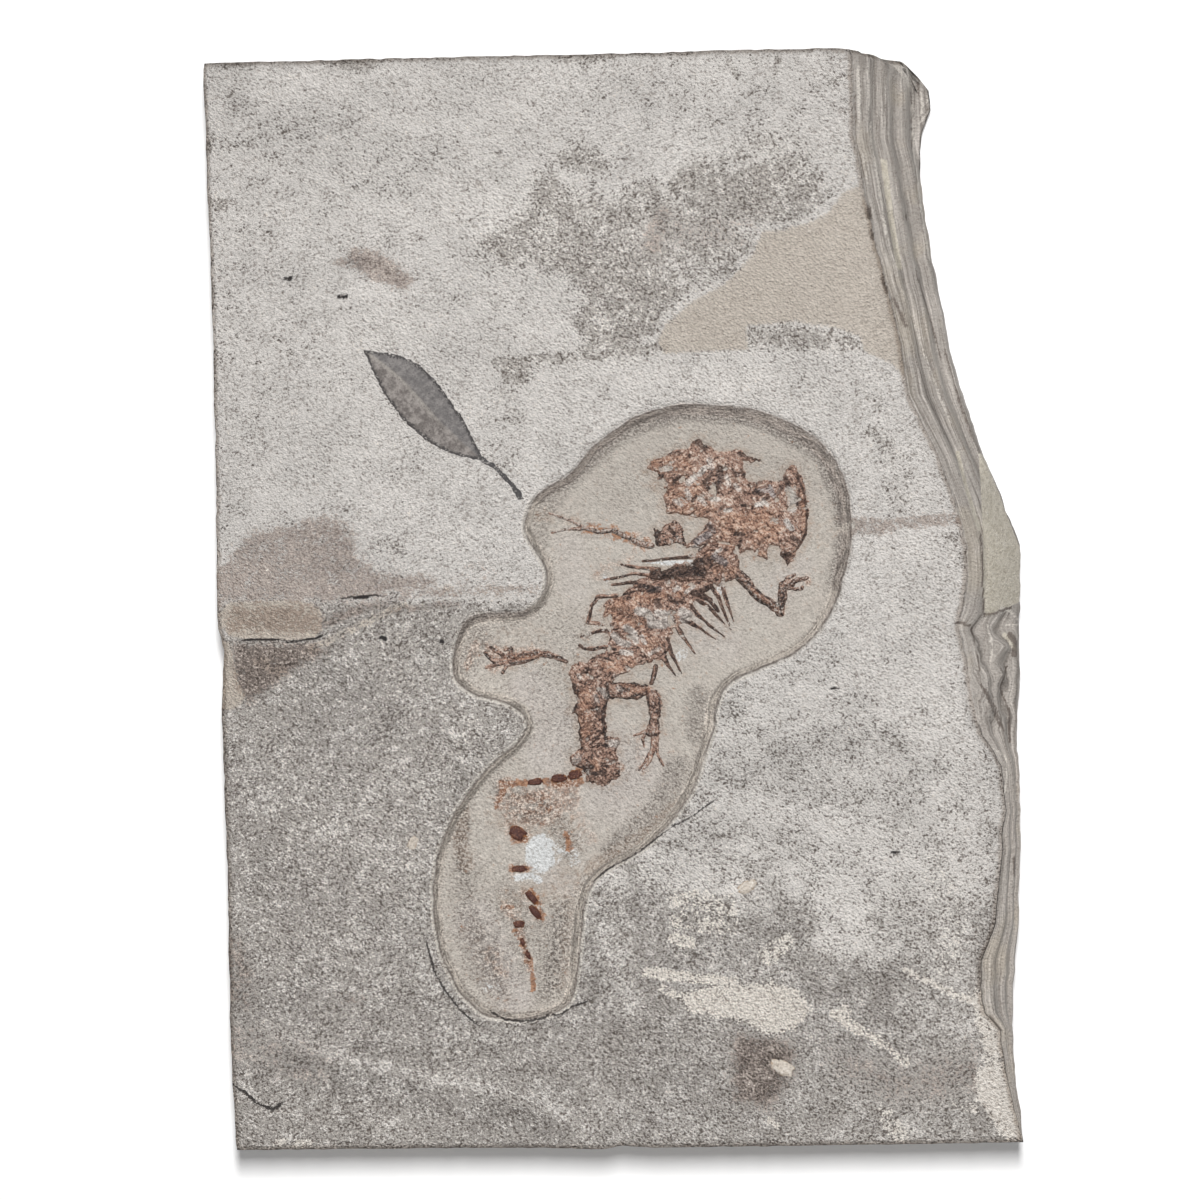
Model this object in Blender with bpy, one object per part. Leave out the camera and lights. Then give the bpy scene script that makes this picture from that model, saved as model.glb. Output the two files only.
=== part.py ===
"""A fossil newt and a fossil leaf in one slab of fine-grained limestone.

The slab lies on its underside, z = 0, with its face up and the newt's head towards +Y.
The newt lies on the floor of a hollow that was cut down to it, and the leaf lies beside it
in a shallow print. The right-hand side of the slab is broken in steps along its bedding.
Outlines are in millimetres on the face, with the origin in the middle of the slab.
"""

import math

import bmesh
import bpy
from mathutils import Matrix, Vector

MM = 0.001
THICKNESS = 22.0  # slab, underside to face
RECESS_DEPTH = 2.2  # face to the floor that the newt lies on
WALL_RUN = 1.2  # how far the recess wall leans in, at least
WALL_LEAN = 0.8  # and how much more on the upper right
GAP = 0.3  # clearance between a piece and the stone under it
LEAF_THICKNESS = 0.4
LEAF_SINK = 0.15  # the leaf's top lies this far below the face
BED = THICKNESS - RECESS_DEPTH + GAP  # height of the underside of the bones
ROOT = 0.6  # how far a bone's blank reaches below the bed before it is cut flat
ROD_LIFT = 0.12  # height of a rod's middle above the bed

BED_SQUARE = ((-60.0, -90.0), (60.0, -90.0), (60.0, 60.0), (-60.0, 60.0))

# --- the slab's outline --------------------------------------------------------------------

BOTTOM_EDGE = ((-68.1, -99.6), (-52.0, -99.5), (-34.0, -99.3), (-14.0, -99.2), (-2.0, -99.5),
               (1.5, -98.9), (8.0, -99.2), (30.0, -98.9), (52.0, -98.6), (68.0, -98.3))
TOP_EDGE = ((40.0, 100.0), (20.0, 99.6), (2.0, 99.0), (-18.0, 98.6), (-38.0, 98.2),
            (-58.0, 97.7), (-72.6, 97.3))
LEFT_EDGE = ((-74.3, 95.5), (-73.8, 81.4), (-72.7, 54.3), (-72.0, 27.1), (-71.8, 7.2),
             (-71.6, -5.0), (-70.6, -9.0), (-70.9, -18.1), (-70.6, -28.9), (-70.0, -45.2),
             (-69.6, -63.3), (-69.2, -81.4), (-68.5, -94.0))
# Along the broken side, upwards: y, x of the face's edge, x of the furthest layer below it.
BROKEN_EDGE = ((-98.2, 74.0, 74.9), (-94.0, 73.2, 74.9), (-88.6, 71.8, 74.2),
               (-83.2, 70.7, 73.6), (-77.8, 70.0, 73.6), (-74.8, 67.0, 73.7),
               (-70.0, 66.3, 73.9), (-65.1, 66.7, 74.3), (-59.7, 68.7, 74.7),
               (-48.8, 70.0, 74.9), (-38.0, 70.9, 75.1), (-29.8, 70.3, 74.8),
               (-24.4, 66.4, 74.6), (-14.5, 64.2, 75.1), (-4.3, 62.4, 75.0),
               (3.6, 63.8, 74.8), (9.9, 63.8, 74.9), (17.2, 61.8, 72.0), (27.1, 58.2, 68.3),
               (32.5, 55.5, 66.4), (37.1, 53.3, 64.8), (46.1, 51.9, 62.3), (57.0, 49.2, 60.1),
               (69.6, 46.1, 57.8), (77.8, 44.7, 57.0), (83.2, 43.4, 57.0), (86.4, 43.3, 57.3),
               (90.4, 43.2, 58.7), (95.0, 43.1, 58.4), (98.4, 43.0, 54.6), (99.8, 42.6, 47.0))
# Bedding steps: height, how far out the broken side has come, how far in the other sides stand.
STEPS = ((0.0, 0.86, 1.5), (1.6, 0.96, 0.4), (6.0, 1.00, 0.0), (12.0, 0.92, 0.4),
         (12.5, 0.72, 0.1), (17.0, 0.62, 0.0), (17.5, 0.38, 0.4), (20.6, 0.30, 0.1),
         (21.1, 0.07, 0.1), (22.0, 0.00, 0.5))

RECESS_RIM = ((-15.9, 15.2), (-14.6, 18.1), (-11.4, 20.8), (-7.4, 23.2), (-4.0, 27.7),
              (0.7, 31.1), (5.8, 34.0), (12.3, 35.3), (19.2, 35.4), (26.0, 34.4),
              (32.9, 31.6), (38.2, 28.0), (41.4, 23.1), (43.0, 16.8), (43.2, 11.0),
              (42.1, 5.2), (40.5, -0.5), (37.6, -5.2), (33.6, -9.2), (27.8, -12.1),
              (22.1, -14.6), (19.3, -18.0), (18.4, -23.0), (16.8, -28.2), (14.8, -33.9),
              (11.0, -39.8), (5.2, -45.4), (-1.1, -49.0), (-4.0, -52.0), (-5.2, -56.4),
              (-5.8, -62.4), (-6.6, -69.5), (-8.2, -73.6), (-14.0, -75.8), (-19.9, -75.9),
              (-23.6, -75.0), (-27.4, -71.4), (-30.2, -66.5), (-31.9, -61.0), (-32.6, -55.0),
              (-32.2, -48.6), (-30.7, -42.9), (-28.4, -38.0), (-24.8, -32.7), (-21.0, -28.7),
              (-17.3, -25.7), (-15.8, -23.1), (-16.5, -20.6), (-19.6, -18.6), (-24.4, -17.5),
              (-28.5, -14.8), (-28.9, -10.4), (-27.9, -6.4), (-26.2, -3.4), (-22.4, -2.3),
              (-16.0, -2.0), (-12.6, 1.4), (-12.2, 5.4), (-14.4, 9.4), (-16.0, 12.4))

LEAF_UPPER = ((-45.2, 45.2), (-40.1, 44.5), (-36.2, 43.2), (-33.6, 41.2), (-31.3, 38.7),
              (-28.8, 35.0), (-27.0, 32.5), (-25.1, 28.8), (-23.8, 26.3))
LEAF_LOWER = ((-24.4, 25.3), (-28.2, 26.1), (-30.9, 27.2), (-33.6, 28.8), (-36.2, 30.9),
              (-38.4, 33.2), (-40.3, 35.7), (-42.4, 39.2), (-43.9, 42.5))
LEAF_STALK = ((-25.6, 26.4), (-23.0, 24.9), (-21.6, 24.2), (-19.5, 22.1), (-17.7, 20.1),
              (-16.6, 18.2))

# --- the newt's bones: plates are outlines, rods are paths with two radii ------------------

SKULL_PLATE = ((6.2, 23.8), (7.6, 25.4), (10.1, 26.7), (13.6, 27.6), (14.4, 28.8), (15.8, 29.2),
               (17.0, 27.8), (18.9, 26.8), (22.8, 27.1), (24.3, 26.3), (26.5, 25.3), (24.0, 25.0),
               (23.8, 23.2), (24.7, 21.3), (28.9, 21.7), (30.7, 21.6), (31.2, 23.6),
               (32.6, 24.4), (34.0, 22.5), (34.9, 19.5), (35.4, 15.5), (35.3, 12.0),
               (34.2, 9.9), (32.9, 8.8), (32.6, 6.9), (31.6, 6.1), (30.4, 7.9), (30.0, 9.7),
               (28.6, 9.6), (28.0, 7.4), (26.3, 8.2), (24.1, 9.0), (23.0, 8.2), (22.6, 9.6),
               (19.2, 10.4), (17.0, 10.0), (15.2, 9.7), (14.3, 10.5), (16.4, 12.6),
               (17.2, 14.6), (13.4, 15.1), (9.8, 15.8), (9.2, 17.2), (9.6, 19.8), (7.0, 20.7),
               (8.1, 22.5))
SKULL_ARC = ((32.6, 23.6), (34.0, 20.0), (34.6, 15.5), (34.3, 12.0), (32.9, 9.9), (31.6, 8.4))
SHOULDER_PLATE = ((7.5, 12.9), (8.8, 12.3), (9.5, 13.8), (10.9, 14.6), (12.3, 13.6),
                  (13.2, 11.0), (13.2, 9.9), (9.6, 9.9), (7.9, 10.2))
NECK_PLATE = ((16.4, 9.2), (18.0, 9.5), (21.8, 8.8), (22.3, 5.6), (21.7, 4.2), (19.9, 2.6),
              (17.8, 3.0), (15.0, 3.9), (14.6, 7.2))
BACKBONE_PLATE = ((6.4, 4.1), (7.2, 5.5), (10.4, 6.0), (13.0, 6.7), (16.0, 6.6), (17.0, 4.6),
                  (14.2, 3.3), (10.6, 3.8), (7.4, 3.5))
BODY_PLATE = ((3.9, 3.4), (7.4, 4.4), (12.0, 4.0), (17.0, 3.6), (18.2, 2.2), (15.8, 1.0),
              (14.8, -0.2), (14.9, -1.8), (14.3, -3.6), (12.6, -4.4), (11.0, -5.3),
              (10.2, -7.4), (9.6, -10.8), (7.4, -11.4), (4.6, -12.0), (2.2, -13.2),
              (0.0, -14.9), (-7.2, -15.4), (-7.9, -13.2), (-7.4, -11.9), (-4.6, -10.9),
              (-1.4, -9.6), (-0.7, -7.0), (-0.9, -5.0), (-1.8, -3.6), (-1.6, -1.4),
              (-0.6, 0.1), (1.6, 0.9))
SPINES = (((15.2, 8.0), (10.0, 7.4), (5.4, 7.0)), ((7.0, 4.6), (3.5, 4.8), (1.2, 4.1), (-1.6, 3.7)),
          ((5.2, 3.3), (2.4, 3.0), (-0.2, 2.7)), ((8.4, 5.6), (3.7, 5.9), (1.5, 6.4)))
LEFT_RIBS = (((0.6, 0.7), (-2.8, 0.6), (-3.8, -1.0), (-4.5, -4.0), (-0.6, -4.6)),
             ((0.4, -5.8), (-2.0, -5.5), (-3.8, -6.0), (-5.6, -6.7)),
             ((0.6, -9.1), (-1.5, -8.6), (-3.0, -8.8), (-4.9, -8.9), (-6.0, -8.3)))
RIGHT_RIBS = (((19.6, 3.2), (20.5, 0.3), (21.1, -1.6), (21.8, -3.8)),
              ((17.6, 3.0), (19.1, 0.4), (20.2, -2.4), (21.4, -5.3)),
              ((14.5, 0.8), (17.0, -1.0), (18.8, -2.8), (20.3, -4.4)),
              ((13.9, -1.0), (15.3, -2.6), (17.4, -4.6), (20.2, -6.6)),
              ((12.8, -3.4), (14.7, -4.4), (16.7, -5.8), (18.6, -7.1)),
              ((11.4, -4.6), (12.8, -6.8), (14.9, -9.8)),
              ((9.6, -6.8), (10.9, -10.4), (12.4, -13.3)),
              ((9.0, -10.4), (10.2, -12.0), (11.3, -13.6)))
FIRST_RIB = ((14.4, 1.4), (16.2, 0.9), (17.5, 0.0), (19.0, -1.9))  # the stout dark one
LOOSE_RIB = ((7.7, -12.1), (7.5, -13.4), (7.0, -15.0))

RIGHT_THIGH = ((-0.2, -15.3), (3.0, -15.2), (6.2, -15.6), (6.9, -17.0), (5.6, -17.5),
               (2.4, -17.9), (0.0, -17.8))
RIGHT_SHIN = ((6.1, -16.6), (8.3, -17.6), (8.7, -19.6), (8.3, -22.6), (8.6, -24.0), (7.6, -24.9),
              (5.7, -24.2), (6.3, -22.4), (6.2, -19.4))
RIGHT_TOES = (((6.2, -23.8), (4.9, -24.2), (3.8, -24.6)), ((6.0, -23.9), (5.4, -25.2), (5.6, -26.5)),
              ((7.4, -24.2), (7.1, -27.2), (5.9, -29.2), (4.8, -30.8)),
              ((7.6, -24.4), (7.5, -27.2), (6.7, -29.2), (5.5, -31.0)),
              ((7.9, -24.4), (8.0, -28.0), (9.2, -29.9)))
LEFT_THIGH = ((-8.5, -11.1), (-9.5, -10.7), (-11.9, -9.9), (-14.0, -9.8))
LEFT_SHINS = (((-13.6, -9.6), (-15.6, -9.7), (-18.6, -10.6)),
              ((-13.8, -10.2), (-15.8, -10.9), (-18.8, -11.6)))
LEFT_ANKLE = ((-17.9, -10.0), (-18.0, -12.0), (-19.6, -12.0), (-20.0, -10.4), (-19.0, -9.6))
LEFT_TOES = (((-18.7, -10.2), (-18.4, -8.7), (-19.6, -9.2)), ((-19.4, -10.4), (-20.9, -9.4), (-22.3, -8.5)),
             ((-19.5, -11.0), (-21.8, -10.9), (-23.2, -9.6)), ((-19.4, -11.4), (-21.2, -11.7), (-23.0, -12.2)),
             ((-19.0, -11.6), (-19.5, -12.4), (-20.0, -13.2)))
RIGHT_UPPER_ARM = ((23.2, 4.0), (24.4, 2.6), (26.6, 0.6), (29.0, -1.0), (30.4, -1.7))
RIGHT_FOREARM = ((30.3, -2.2), (30.8, 0.2), (30.6, 2.8), (32.4, 3.0))
RIGHT_FINGERS = (((31.4, 2.8), (33.4, 3.6), (35.2, 4.0)), ((31.6, 2.4), (33.0, 2.0), (34.4, 2.2)),
                 ((31.2, 2.8), (31.8, 4.0), (32.8, 4.6)))
LEFT_ARM = ((6.9, 9.7), (4.6, 10.4), (2.4, 11.5), (-0.2, 12.7), (-2.6, 12.3), (-5.4, 13.2))
LEFT_FINGERS = (((-5.0, 13.1), (-8.2, 14.6), (-11.6, 15.8)), ((-5.0, 13.0), (-8.6, 12.8), (-11.0, 12.2)))

TAIL_BASE = ((-7.1, -15.8), (-6.9, -18.5), (-7.8, -20.5), (-6.7, -20.9), (-6.1, -25.2),
             (-5.5, -27.0), (-7.7, -28.4), (-7.4, -29.9), (-5.3, -30.4), (-4.9, -33.0),
             (-1.5, -33.5), (1.4, -32.0), (1.0, -29.8), (0.4, -27.4), (1.4, -26.1), (0.8, -25.0),
             (-1.1, -24.6), (-1.4, -21.5), (-1.0, -18.4), (-0.9, -15.8))
# The tail's loose vertebrae, head to tip: middle x, y, length, width, angle in degrees.
TAIL_VERTEBRAE = ((-6.9, -31.6, 2.6, 1.6, 24.0), (-9.9, -32.3, 2.8, 1.5, 4.0),
                  (-14.1, -32.9, 2.8, 1.1, 8.0), (-17.2, -42.2, 2.9, 2.4, -20.0),
                  (-17.0, -48.7, 2.6, 1.1, 0.0), (-14.7, -53.9, 2.9, 1.3, -46.0),
                  (-14.0, -56.6, 3.0, 1.3, -50.0), (-17.0, -58.7, 2.0, 1.2, 0.0),
                  (-16.4, -61.9, 1.5, 0.8, -70.0), (-15.4, -64.3, 1.7, 0.8, -65.0))
TAIL_HEIGHT = 0.9
# Bits of shell set in the face: middle x, y, length, width, angle in degrees.
SHELL_BITS = ((24.2, -51.9, 3.4, 1.8, 35.0), (30.7, -84.6, 4.4, 2.4, -25.0),
              (-36.2, -43.9, 2.4, 1.6, 60.0))
SHELL_HEIGHT = 0.9  # of the whole bit, half of it above the face


# --- tools ---------------------------------------------------------------------------------


def clear_scene():
    for obj in list(bpy.data.objects):
        bpy.data.objects.remove(obj, do_unlink=True)


def new_collection(name, hidden=False):
    made = bpy.data.collections.new(name)
    bpy.context.scene.collection.children.link(made)
    made.hide_render = hidden
    return made


def material(name, colour, roughness):
    made = bpy.data.materials.new(name)
    made.use_nodes = True
    shader = made.node_tree.nodes["Principled BSDF"]
    shader.inputs["Base Color"].default_value = (*colour, 1.0)
    shader.inputs["Roughness"].default_value = roughness
    shader.inputs["Metallic"].default_value = 0.0
    return made


def place(mesh, name, home):
    obj = bpy.data.objects.new(name, mesh)
    home.objects.link(obj)
    if home.hide_render:
        obj.hide_render = True
        obj.display_type = "WIRE"
    return obj


def mesh_of_curve(curve, name, home):
    """The curve's solid as a mesh object, with its loose caps welded on."""
    guide = bpy.data.objects.new(name + "_guide", curve)
    home.objects.link(guide)
    mesh = bpy.data.meshes.new_from_object(guide.evaluated_get(bpy.context.evaluated_depsgraph_get()))
    bpy.data.objects.remove(guide)
    work = bmesh.new()
    work.from_mesh(mesh)
    bmesh.ops.remove_doubles(work, verts=work.verts, dist=0.0005 * MM)
    bmesh.ops.recalc_face_normals(work, faces=work.faces)
    work.to_mesh(mesh)
    work.free()
    return place(mesh, name, home)


def plate(name, outline, low, high, bevel, home):
    """A flat piece with the outline, from height low to high, its edges bevelled."""
    curve = bpy.data.curves.new(name, "CURVE")
    curve.dimensions = "2D"
    curve.fill_mode = "BOTH"
    curve.extrude = (high - low) / 2.0 * MM - bevel * MM
    curve.bevel_depth = bevel * MM
    curve.bevel_resolution = 0
    curve.offset = -bevel * MM
    spline = curve.splines.new("POLY")
    spline.points.add(len(outline) - 1)
    for point, (x, y) in zip(spline.points, outline):
        point.co = (x * MM, y * MM, 0.0, 1.0)
    spline.use_cyclic_u = True
    piece = mesh_of_curve(curve, name, home)
    piece.data.transform(Matrix.Translation((0.0, 0.0, (low + high) / 2.0 * MM)))
    return piece


def rod(name, path, start, end, home, height=BED + ROD_LIFT):
    """A round bone along the path, its radius going from start to end."""
    curve = bpy.data.curves.new(name, "CURVE")
    curve.dimensions = "3D"
    curve.bevel_depth = MM
    curve.bevel_resolution = 1
    curve.use_fill_caps = True
    spline = curve.splines.new("POLY")
    spline.points.add(len(path) - 1)
    for index, (point, (x, y)) in enumerate(zip(spline.points, path)):
        point.co = (x * MM, y * MM, height * MM, 1.0)
        point.radius = start + (end - start) * index / (len(path) - 1)
    return mesh_of_curve(curve, name, home)


def bead(name, x, y, length, width, angle, low, high, home):
    """A lens-shaped piece lying at (x, y), its long way turned by angle, from low to high."""
    work = bmesh.new()
    bmesh.ops.create_uvsphere(work, u_segments=14, v_segments=8, radius=0.5)
    mesh = bpy.data.meshes.new(name)
    work.to_mesh(mesh)
    work.free()
    size = Matrix.Diagonal((length * MM, width * MM, (high - low) * MM, 1.0))
    turn = Matrix.Rotation(math.radians(angle), 4, "Z")
    mesh.transform(Matrix.Translation((x * MM, y * MM, (low + high) / 2.0 * MM)) @ turn @ size)
    return place(mesh, name, home)


def inset(outline, distance):
    """The closed outline moved inwards by distance(outward normal), a number or a function."""
    middle = []
    signed = sum(a[0] * b[1] - b[0] * a[1] for a, b in zip(outline, outline[1:] + outline[:1]))
    way = 1.0 if signed > 0.0 else -1.0
    for before, here, after in zip(outline[-1:] + outline[:-1], outline, outline[1:] + outline[:1]):
        along = Vector((after[0] - before[0], after[1] - before[1])).normalized()
        out = Vector((along.y, -along.x)) * way
        step = distance(out) if callable(distance) else distance
        middle.append((here[0] - out.x * step, here[1] - out.y * step))
    return tuple(middle)


def loft(name, rings, home):
    """One closed solid through rings of (height, outline), lowest first, all of one length."""
    work = bmesh.new()
    rows = [[work.verts.new((x * MM, y * MM, z * MM)) for x, y in outline] for z, outline in rings]
    count = len(rows[0])
    for lower, upper in zip(rows, rows[1:]):
        for i in range(count):
            j = (i + 1) % count
            work.faces.new((lower[i], lower[j], upper[j], upper[i]))
    work.faces.new(rows[0])
    work.faces.new(rows[-1])
    bmesh.ops.recalc_face_normals(work, faces=work.faces)
    mesh = bpy.data.meshes.new(name)
    work.to_mesh(mesh)
    work.free()
    return place(mesh, name, home)


def smooth(outline, steps=2):
    """The closed outline with a Catmull-Rom curve between its points."""
    points = []
    count = len(outline)
    for i in range(count):
        a, b, c, d = (Vector(outline[(i + k) % count]) for k in (-1, 0, 1, 2))
        for step in range(steps):
            t = step / steps
            blend = (2.0 * b + (c - a) * t + (2.0 * a - 5.0 * b + 4.0 * c - d) * t * t
                     + (3.0 * b - 3.0 * c + d - a) * t * t * t)
            points.append((blend.x / 2.0, blend.y / 2.0))
    return tuple(points)


def boolean(obj, operation, other):
    change = obj.modifiers.new(operation.title(), "BOOLEAN")
    change.operation = operation
    change.solver = "EXACT"
    if isinstance(other, bpy.types.Collection):
        change.operand_type = "COLLECTION"
        change.collection = other
    else:
        change.object = other


def bone(name, plates, rods, colour, bed):
    """Plates and rods joined in one piece, its underside cut flat along the bed.

    A plate is (outline, height) and a rod is (path, first radius, last radius).
    """
    blanks = new_collection(name + "_blanks", hidden=True)
    made = []
    for index, (outline, height) in enumerate(plates):
        low = BED - ROOT - 0.07 * index
        made.append(plate(f"{name}_plate_{index}", outline, low, BED + height, 0.18, blanks))
    for index, (path, start, end) in enumerate(rods):
        made.append(rod(f"{name}_rod_{index}", path, start, end, blanks))
    return finish_bone(name, made, blanks, colour, bed)


def finish_bone(name, made, blanks, colour, bed):
    first = made[0]
    node = place(first.data, name, parts)
    node.data.materials.clear()
    node.data.materials.append(material(name, colour, 0.6))
    bpy.data.objects.remove(first)
    if len(made) > 1:
        boolean(node, "UNION", blanks)
    boolean(node, "DIFFERENCE", bed)
    return node


# --- the pieces ----------------------------------------------------------------------------


def slab_ring(height, share, stand_in):
    """The slab's outline at one height of its broken, bedded side."""
    ring = [(x, y + stand_in) for x, y in BOTTOM_EDGE]
    ring += [(face + share * (layer - face), y) for y, face, layer in BROKEN_EDGE]
    ring += [(x, y - stand_in) for x, y in TOP_EDGE]
    ring += [(x + stand_in, y) for x, y in LEFT_EDGE]
    return height, tuple(ring)


def wall_run(out):
    """How far the recess wall leans in where its outward normal is out."""
    return WALL_RUN + WALL_LEAN * max(0.0, out.x * 0.7 + out.y * 0.7)


def make_slab():
    slab = loft("slab", [slab_ring(*step) for step in STEPS], parts)
    slab.data.materials.append(material("limestone", (0.52, 0.50, 0.47), 0.85))
    rim = smooth(RECESS_RIM)
    floor = inset(rim, wall_run)
    recess = loft("recess_cutter", [(THICKNESS - RECESS_DEPTH, floor), (THICKNESS, rim),
                                    (THICKNESS + 2.0, inset(rim, -0.8))], cutters)
    boolean(slab, "DIFFERENCE", recess)
    leaf_depth = LEAF_SINK + LEAF_THICKNESS + GAP
    for name, outline in (("blade", LEAF_UPPER + LEAF_LOWER), ("stalk", stalk_outline(0.6))):
        print_ = inset(outline, -0.4) if name == "blade" else outline
        low = THICKNESS - leaf_depth - (0.05 if name == "stalk" else 0.0)
        high = THICKNESS + 1.0 + (0.1 if name == "stalk" else 0.0)
        cutter = loft(f"{name}_cutter", [(low, print_), (high, print_)], cutters)
        boolean(slab, "DIFFERENCE", cutter)
    for index, (x, y, length, width, angle) in enumerate(SHELL_BITS):
        low = THICKNESS - SHELL_HEIGHT / 2.0 - GAP
        socket = oval(x, y, length + 2.0 * GAP, width + 2.0 * GAP, angle)
        cutter = loft(f"shell_cutter_{index}", [(low, socket), (THICKNESS + 1.0, socket)], cutters)
        boolean(slab, "DIFFERENCE", cutter)
    return slab


def oval(x, y, length, width, angle, count=12):
    turn = math.radians(angle)
    points = []
    for i in range(count):
        u = math.cos(2.0 * math.pi * i / count) * length / 2.0
        v = math.sin(2.0 * math.pi * i / count) * width / 2.0
        points.append((x + u * math.cos(turn) - v * math.sin(turn),
                       y + u * math.sin(turn) + v * math.cos(turn)))
    return tuple(points)


def stalk_outline(half_width):
    """A strip of even width along the leaf's stalk."""
    left, right = [], []
    last = len(LEAF_STALK) - 1
    for i, here in enumerate(LEAF_STALK):
        before, after = LEAF_STALK[max(i - 1, 0)], LEAF_STALK[min(i + 1, last)]
        along = Vector((after[0] - before[0], after[1] - before[1])).normalized() * half_width
        left.append((here[0] - along.y, here[1] + along.x))
        right.append((here[0] + along.y, here[1] - along.x))
    return tuple(left + right[::-1])


def make_leaf():
    """Blade and stalk in one thin film that lies in its print."""
    high = THICKNESS - LEAF_SINK
    low = high - LEAF_THICKNESS
    blanks = new_collection("leaf_blanks", hidden=True)
    leaf = loft("leaf", [(low, LEAF_UPPER + LEAF_LOWER), (high, LEAF_UPPER + LEAF_LOWER)], parts)
    leaf.data.materials.append(material("carbonised leaf", (0.20, 0.20, 0.21), 0.7))
    strip = stalk_outline(0.28)
    stalk = loft("leaf_stalk", [(low + 0.03, strip), (high - 0.03, strip)], blanks)
    boolean(leaf, "UNION", stalk)
    return leaf


def make_bones():
    bed = loft("bed", [(BED - 8.0, BED_SQUARE), (BED, BED_SQUARE)], cutters)
    brown, dark, tan = (0.30, 0.20, 0.15), (0.12, 0.09, 0.08), (0.38, 0.25, 0.17)
    bone("skull", [(SKULL_PLATE, 1.0)], [(SKULL_ARC, 0.55, 0.85)], brown, bed)
    bone("shoulder_plate", [(SHOULDER_PLATE, 0.6)], [], brown, bed)
    ribs = [(path, 0.5, 0.2) for path in RIGHT_RIBS]
    ribs += [(path, 0.35, 0.3) for path in LEFT_RIBS]
    ribs += [(path, 0.45, 0.25) for path in SPINES]
    ribs += [(FIRST_RIB, 0.65, 0.3)]
    trunk = [(BODY_PLATE, 0.7), (BACKBONE_PLATE, 1.15), (NECK_PLATE, 0.9)]
    bone("trunk", trunk, ribs, brown, bed)
    bone("loose_rib", [], [(LOOSE_RIB, 0.4, 0.4)], brown, bed)
    arm = [(RIGHT_UPPER_ARM, 0.75, 0.6), (RIGHT_FOREARM, 0.6, 0.5)]
    bone("right_arm", [], arm + [(path, 0.35, 0.25) for path in RIGHT_FINGERS], brown, bed)
    bone("left_arm", [], [(LEFT_ARM, 0.35, 0.35)] + [(path, 0.3, 0.22) for path in LEFT_FINGERS],
         tan, bed)
    bone("right_leg", [(RIGHT_THIGH, 0.85), (RIGHT_SHIN, 0.75)],
         [(path, 0.35, 0.25) for path in RIGHT_TOES], brown, bed)
    left_leg = [(LEFT_THIGH, 0.55, 0.5)] + [(path, 0.4, 0.35) for path in LEFT_SHINS]
    bone("left_leg", [(LEFT_ANKLE, 0.4)], left_leg + [(path, 0.3, 0.22) for path in LEFT_TOES],
         tan, bed)
    bone("tail_base", [(TAIL_BASE, 0.9)], [], brown, bed)
    for index, (x, y, length, width, angle) in enumerate(TAIL_VERTEBRAE):
        name = f"tail_vertebra_{index + 1}"
        blanks = new_collection(name + "_blanks", hidden=True)
        low = BED - 0.35 * TAIL_HEIGHT
        blank = bead(name + "_bead", x, y, length, width, angle, low, BED + TAIL_HEIGHT, blanks)
        finish_bone(name, [blank], blanks, dark, bed)


def make_shell_bits():
    for index, (x, y, length, width, angle) in enumerate(SHELL_BITS):
        low, high = THICKNESS - SHELL_HEIGHT / 2.0, THICKNESS + SHELL_HEIGHT / 2.0
        bit = bead(f"shell_bit_{index + 1}", x, y, length, width, angle, low, high, parts)
        bit.data.materials.append(material(f"shell {index + 1}", (0.62, 0.50, 0.36), 0.5))


clear_scene()
parts = new_collection("fossil_newt")
cutters = new_collection("cutters", hidden=True)
make_slab()
make_leaf()
make_bones()
make_shell_bits()
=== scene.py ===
# %% [markdown]
# # A fossil newt and a leaf in a slab of limestone
#
# The real object is one slab of fine-grained lake limestone, about 200 by 150 mm and 22 mm
# thick. A hollow has been cut into its face, down to the bed on which a crushed newt lies, and
# a dark leaf lies beside it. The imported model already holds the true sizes, so everything here
# is measured from it, and each new surface takes the place of the plain solid of its name.
#
# All shapes are worked out with numpy in millimetres and written to a mesh in one go.

import bpy
import numpy as np
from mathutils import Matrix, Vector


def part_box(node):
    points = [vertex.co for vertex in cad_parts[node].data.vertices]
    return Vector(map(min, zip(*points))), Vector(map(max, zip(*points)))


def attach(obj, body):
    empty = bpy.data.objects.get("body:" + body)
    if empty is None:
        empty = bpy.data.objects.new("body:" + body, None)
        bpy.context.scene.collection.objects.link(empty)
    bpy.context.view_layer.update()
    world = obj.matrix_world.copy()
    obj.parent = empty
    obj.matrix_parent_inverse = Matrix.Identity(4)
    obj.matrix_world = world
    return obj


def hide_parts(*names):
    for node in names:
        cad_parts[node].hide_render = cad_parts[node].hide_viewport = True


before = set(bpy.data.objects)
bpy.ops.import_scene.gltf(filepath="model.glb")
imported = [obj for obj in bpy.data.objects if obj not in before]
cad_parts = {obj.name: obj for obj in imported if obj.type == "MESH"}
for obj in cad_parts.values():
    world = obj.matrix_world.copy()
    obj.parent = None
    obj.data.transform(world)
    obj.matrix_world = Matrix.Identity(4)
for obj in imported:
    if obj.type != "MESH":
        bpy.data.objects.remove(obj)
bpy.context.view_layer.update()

MM = 0.001
SLAB_LOW, SLAB_HIGH = (np.array(corner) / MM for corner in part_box("slab"))
FACE = SLAB_HIGH[2]
RECESS_DEPTH = 2.2
FLOOR = FACE - RECESS_DEPTH
print(f"slab {np.round(SLAB_HIGH - SLAB_LOW, 1)} mm, face at {FACE:.1f}, hollow's floor at {FLOOR:.1f}")

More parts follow.
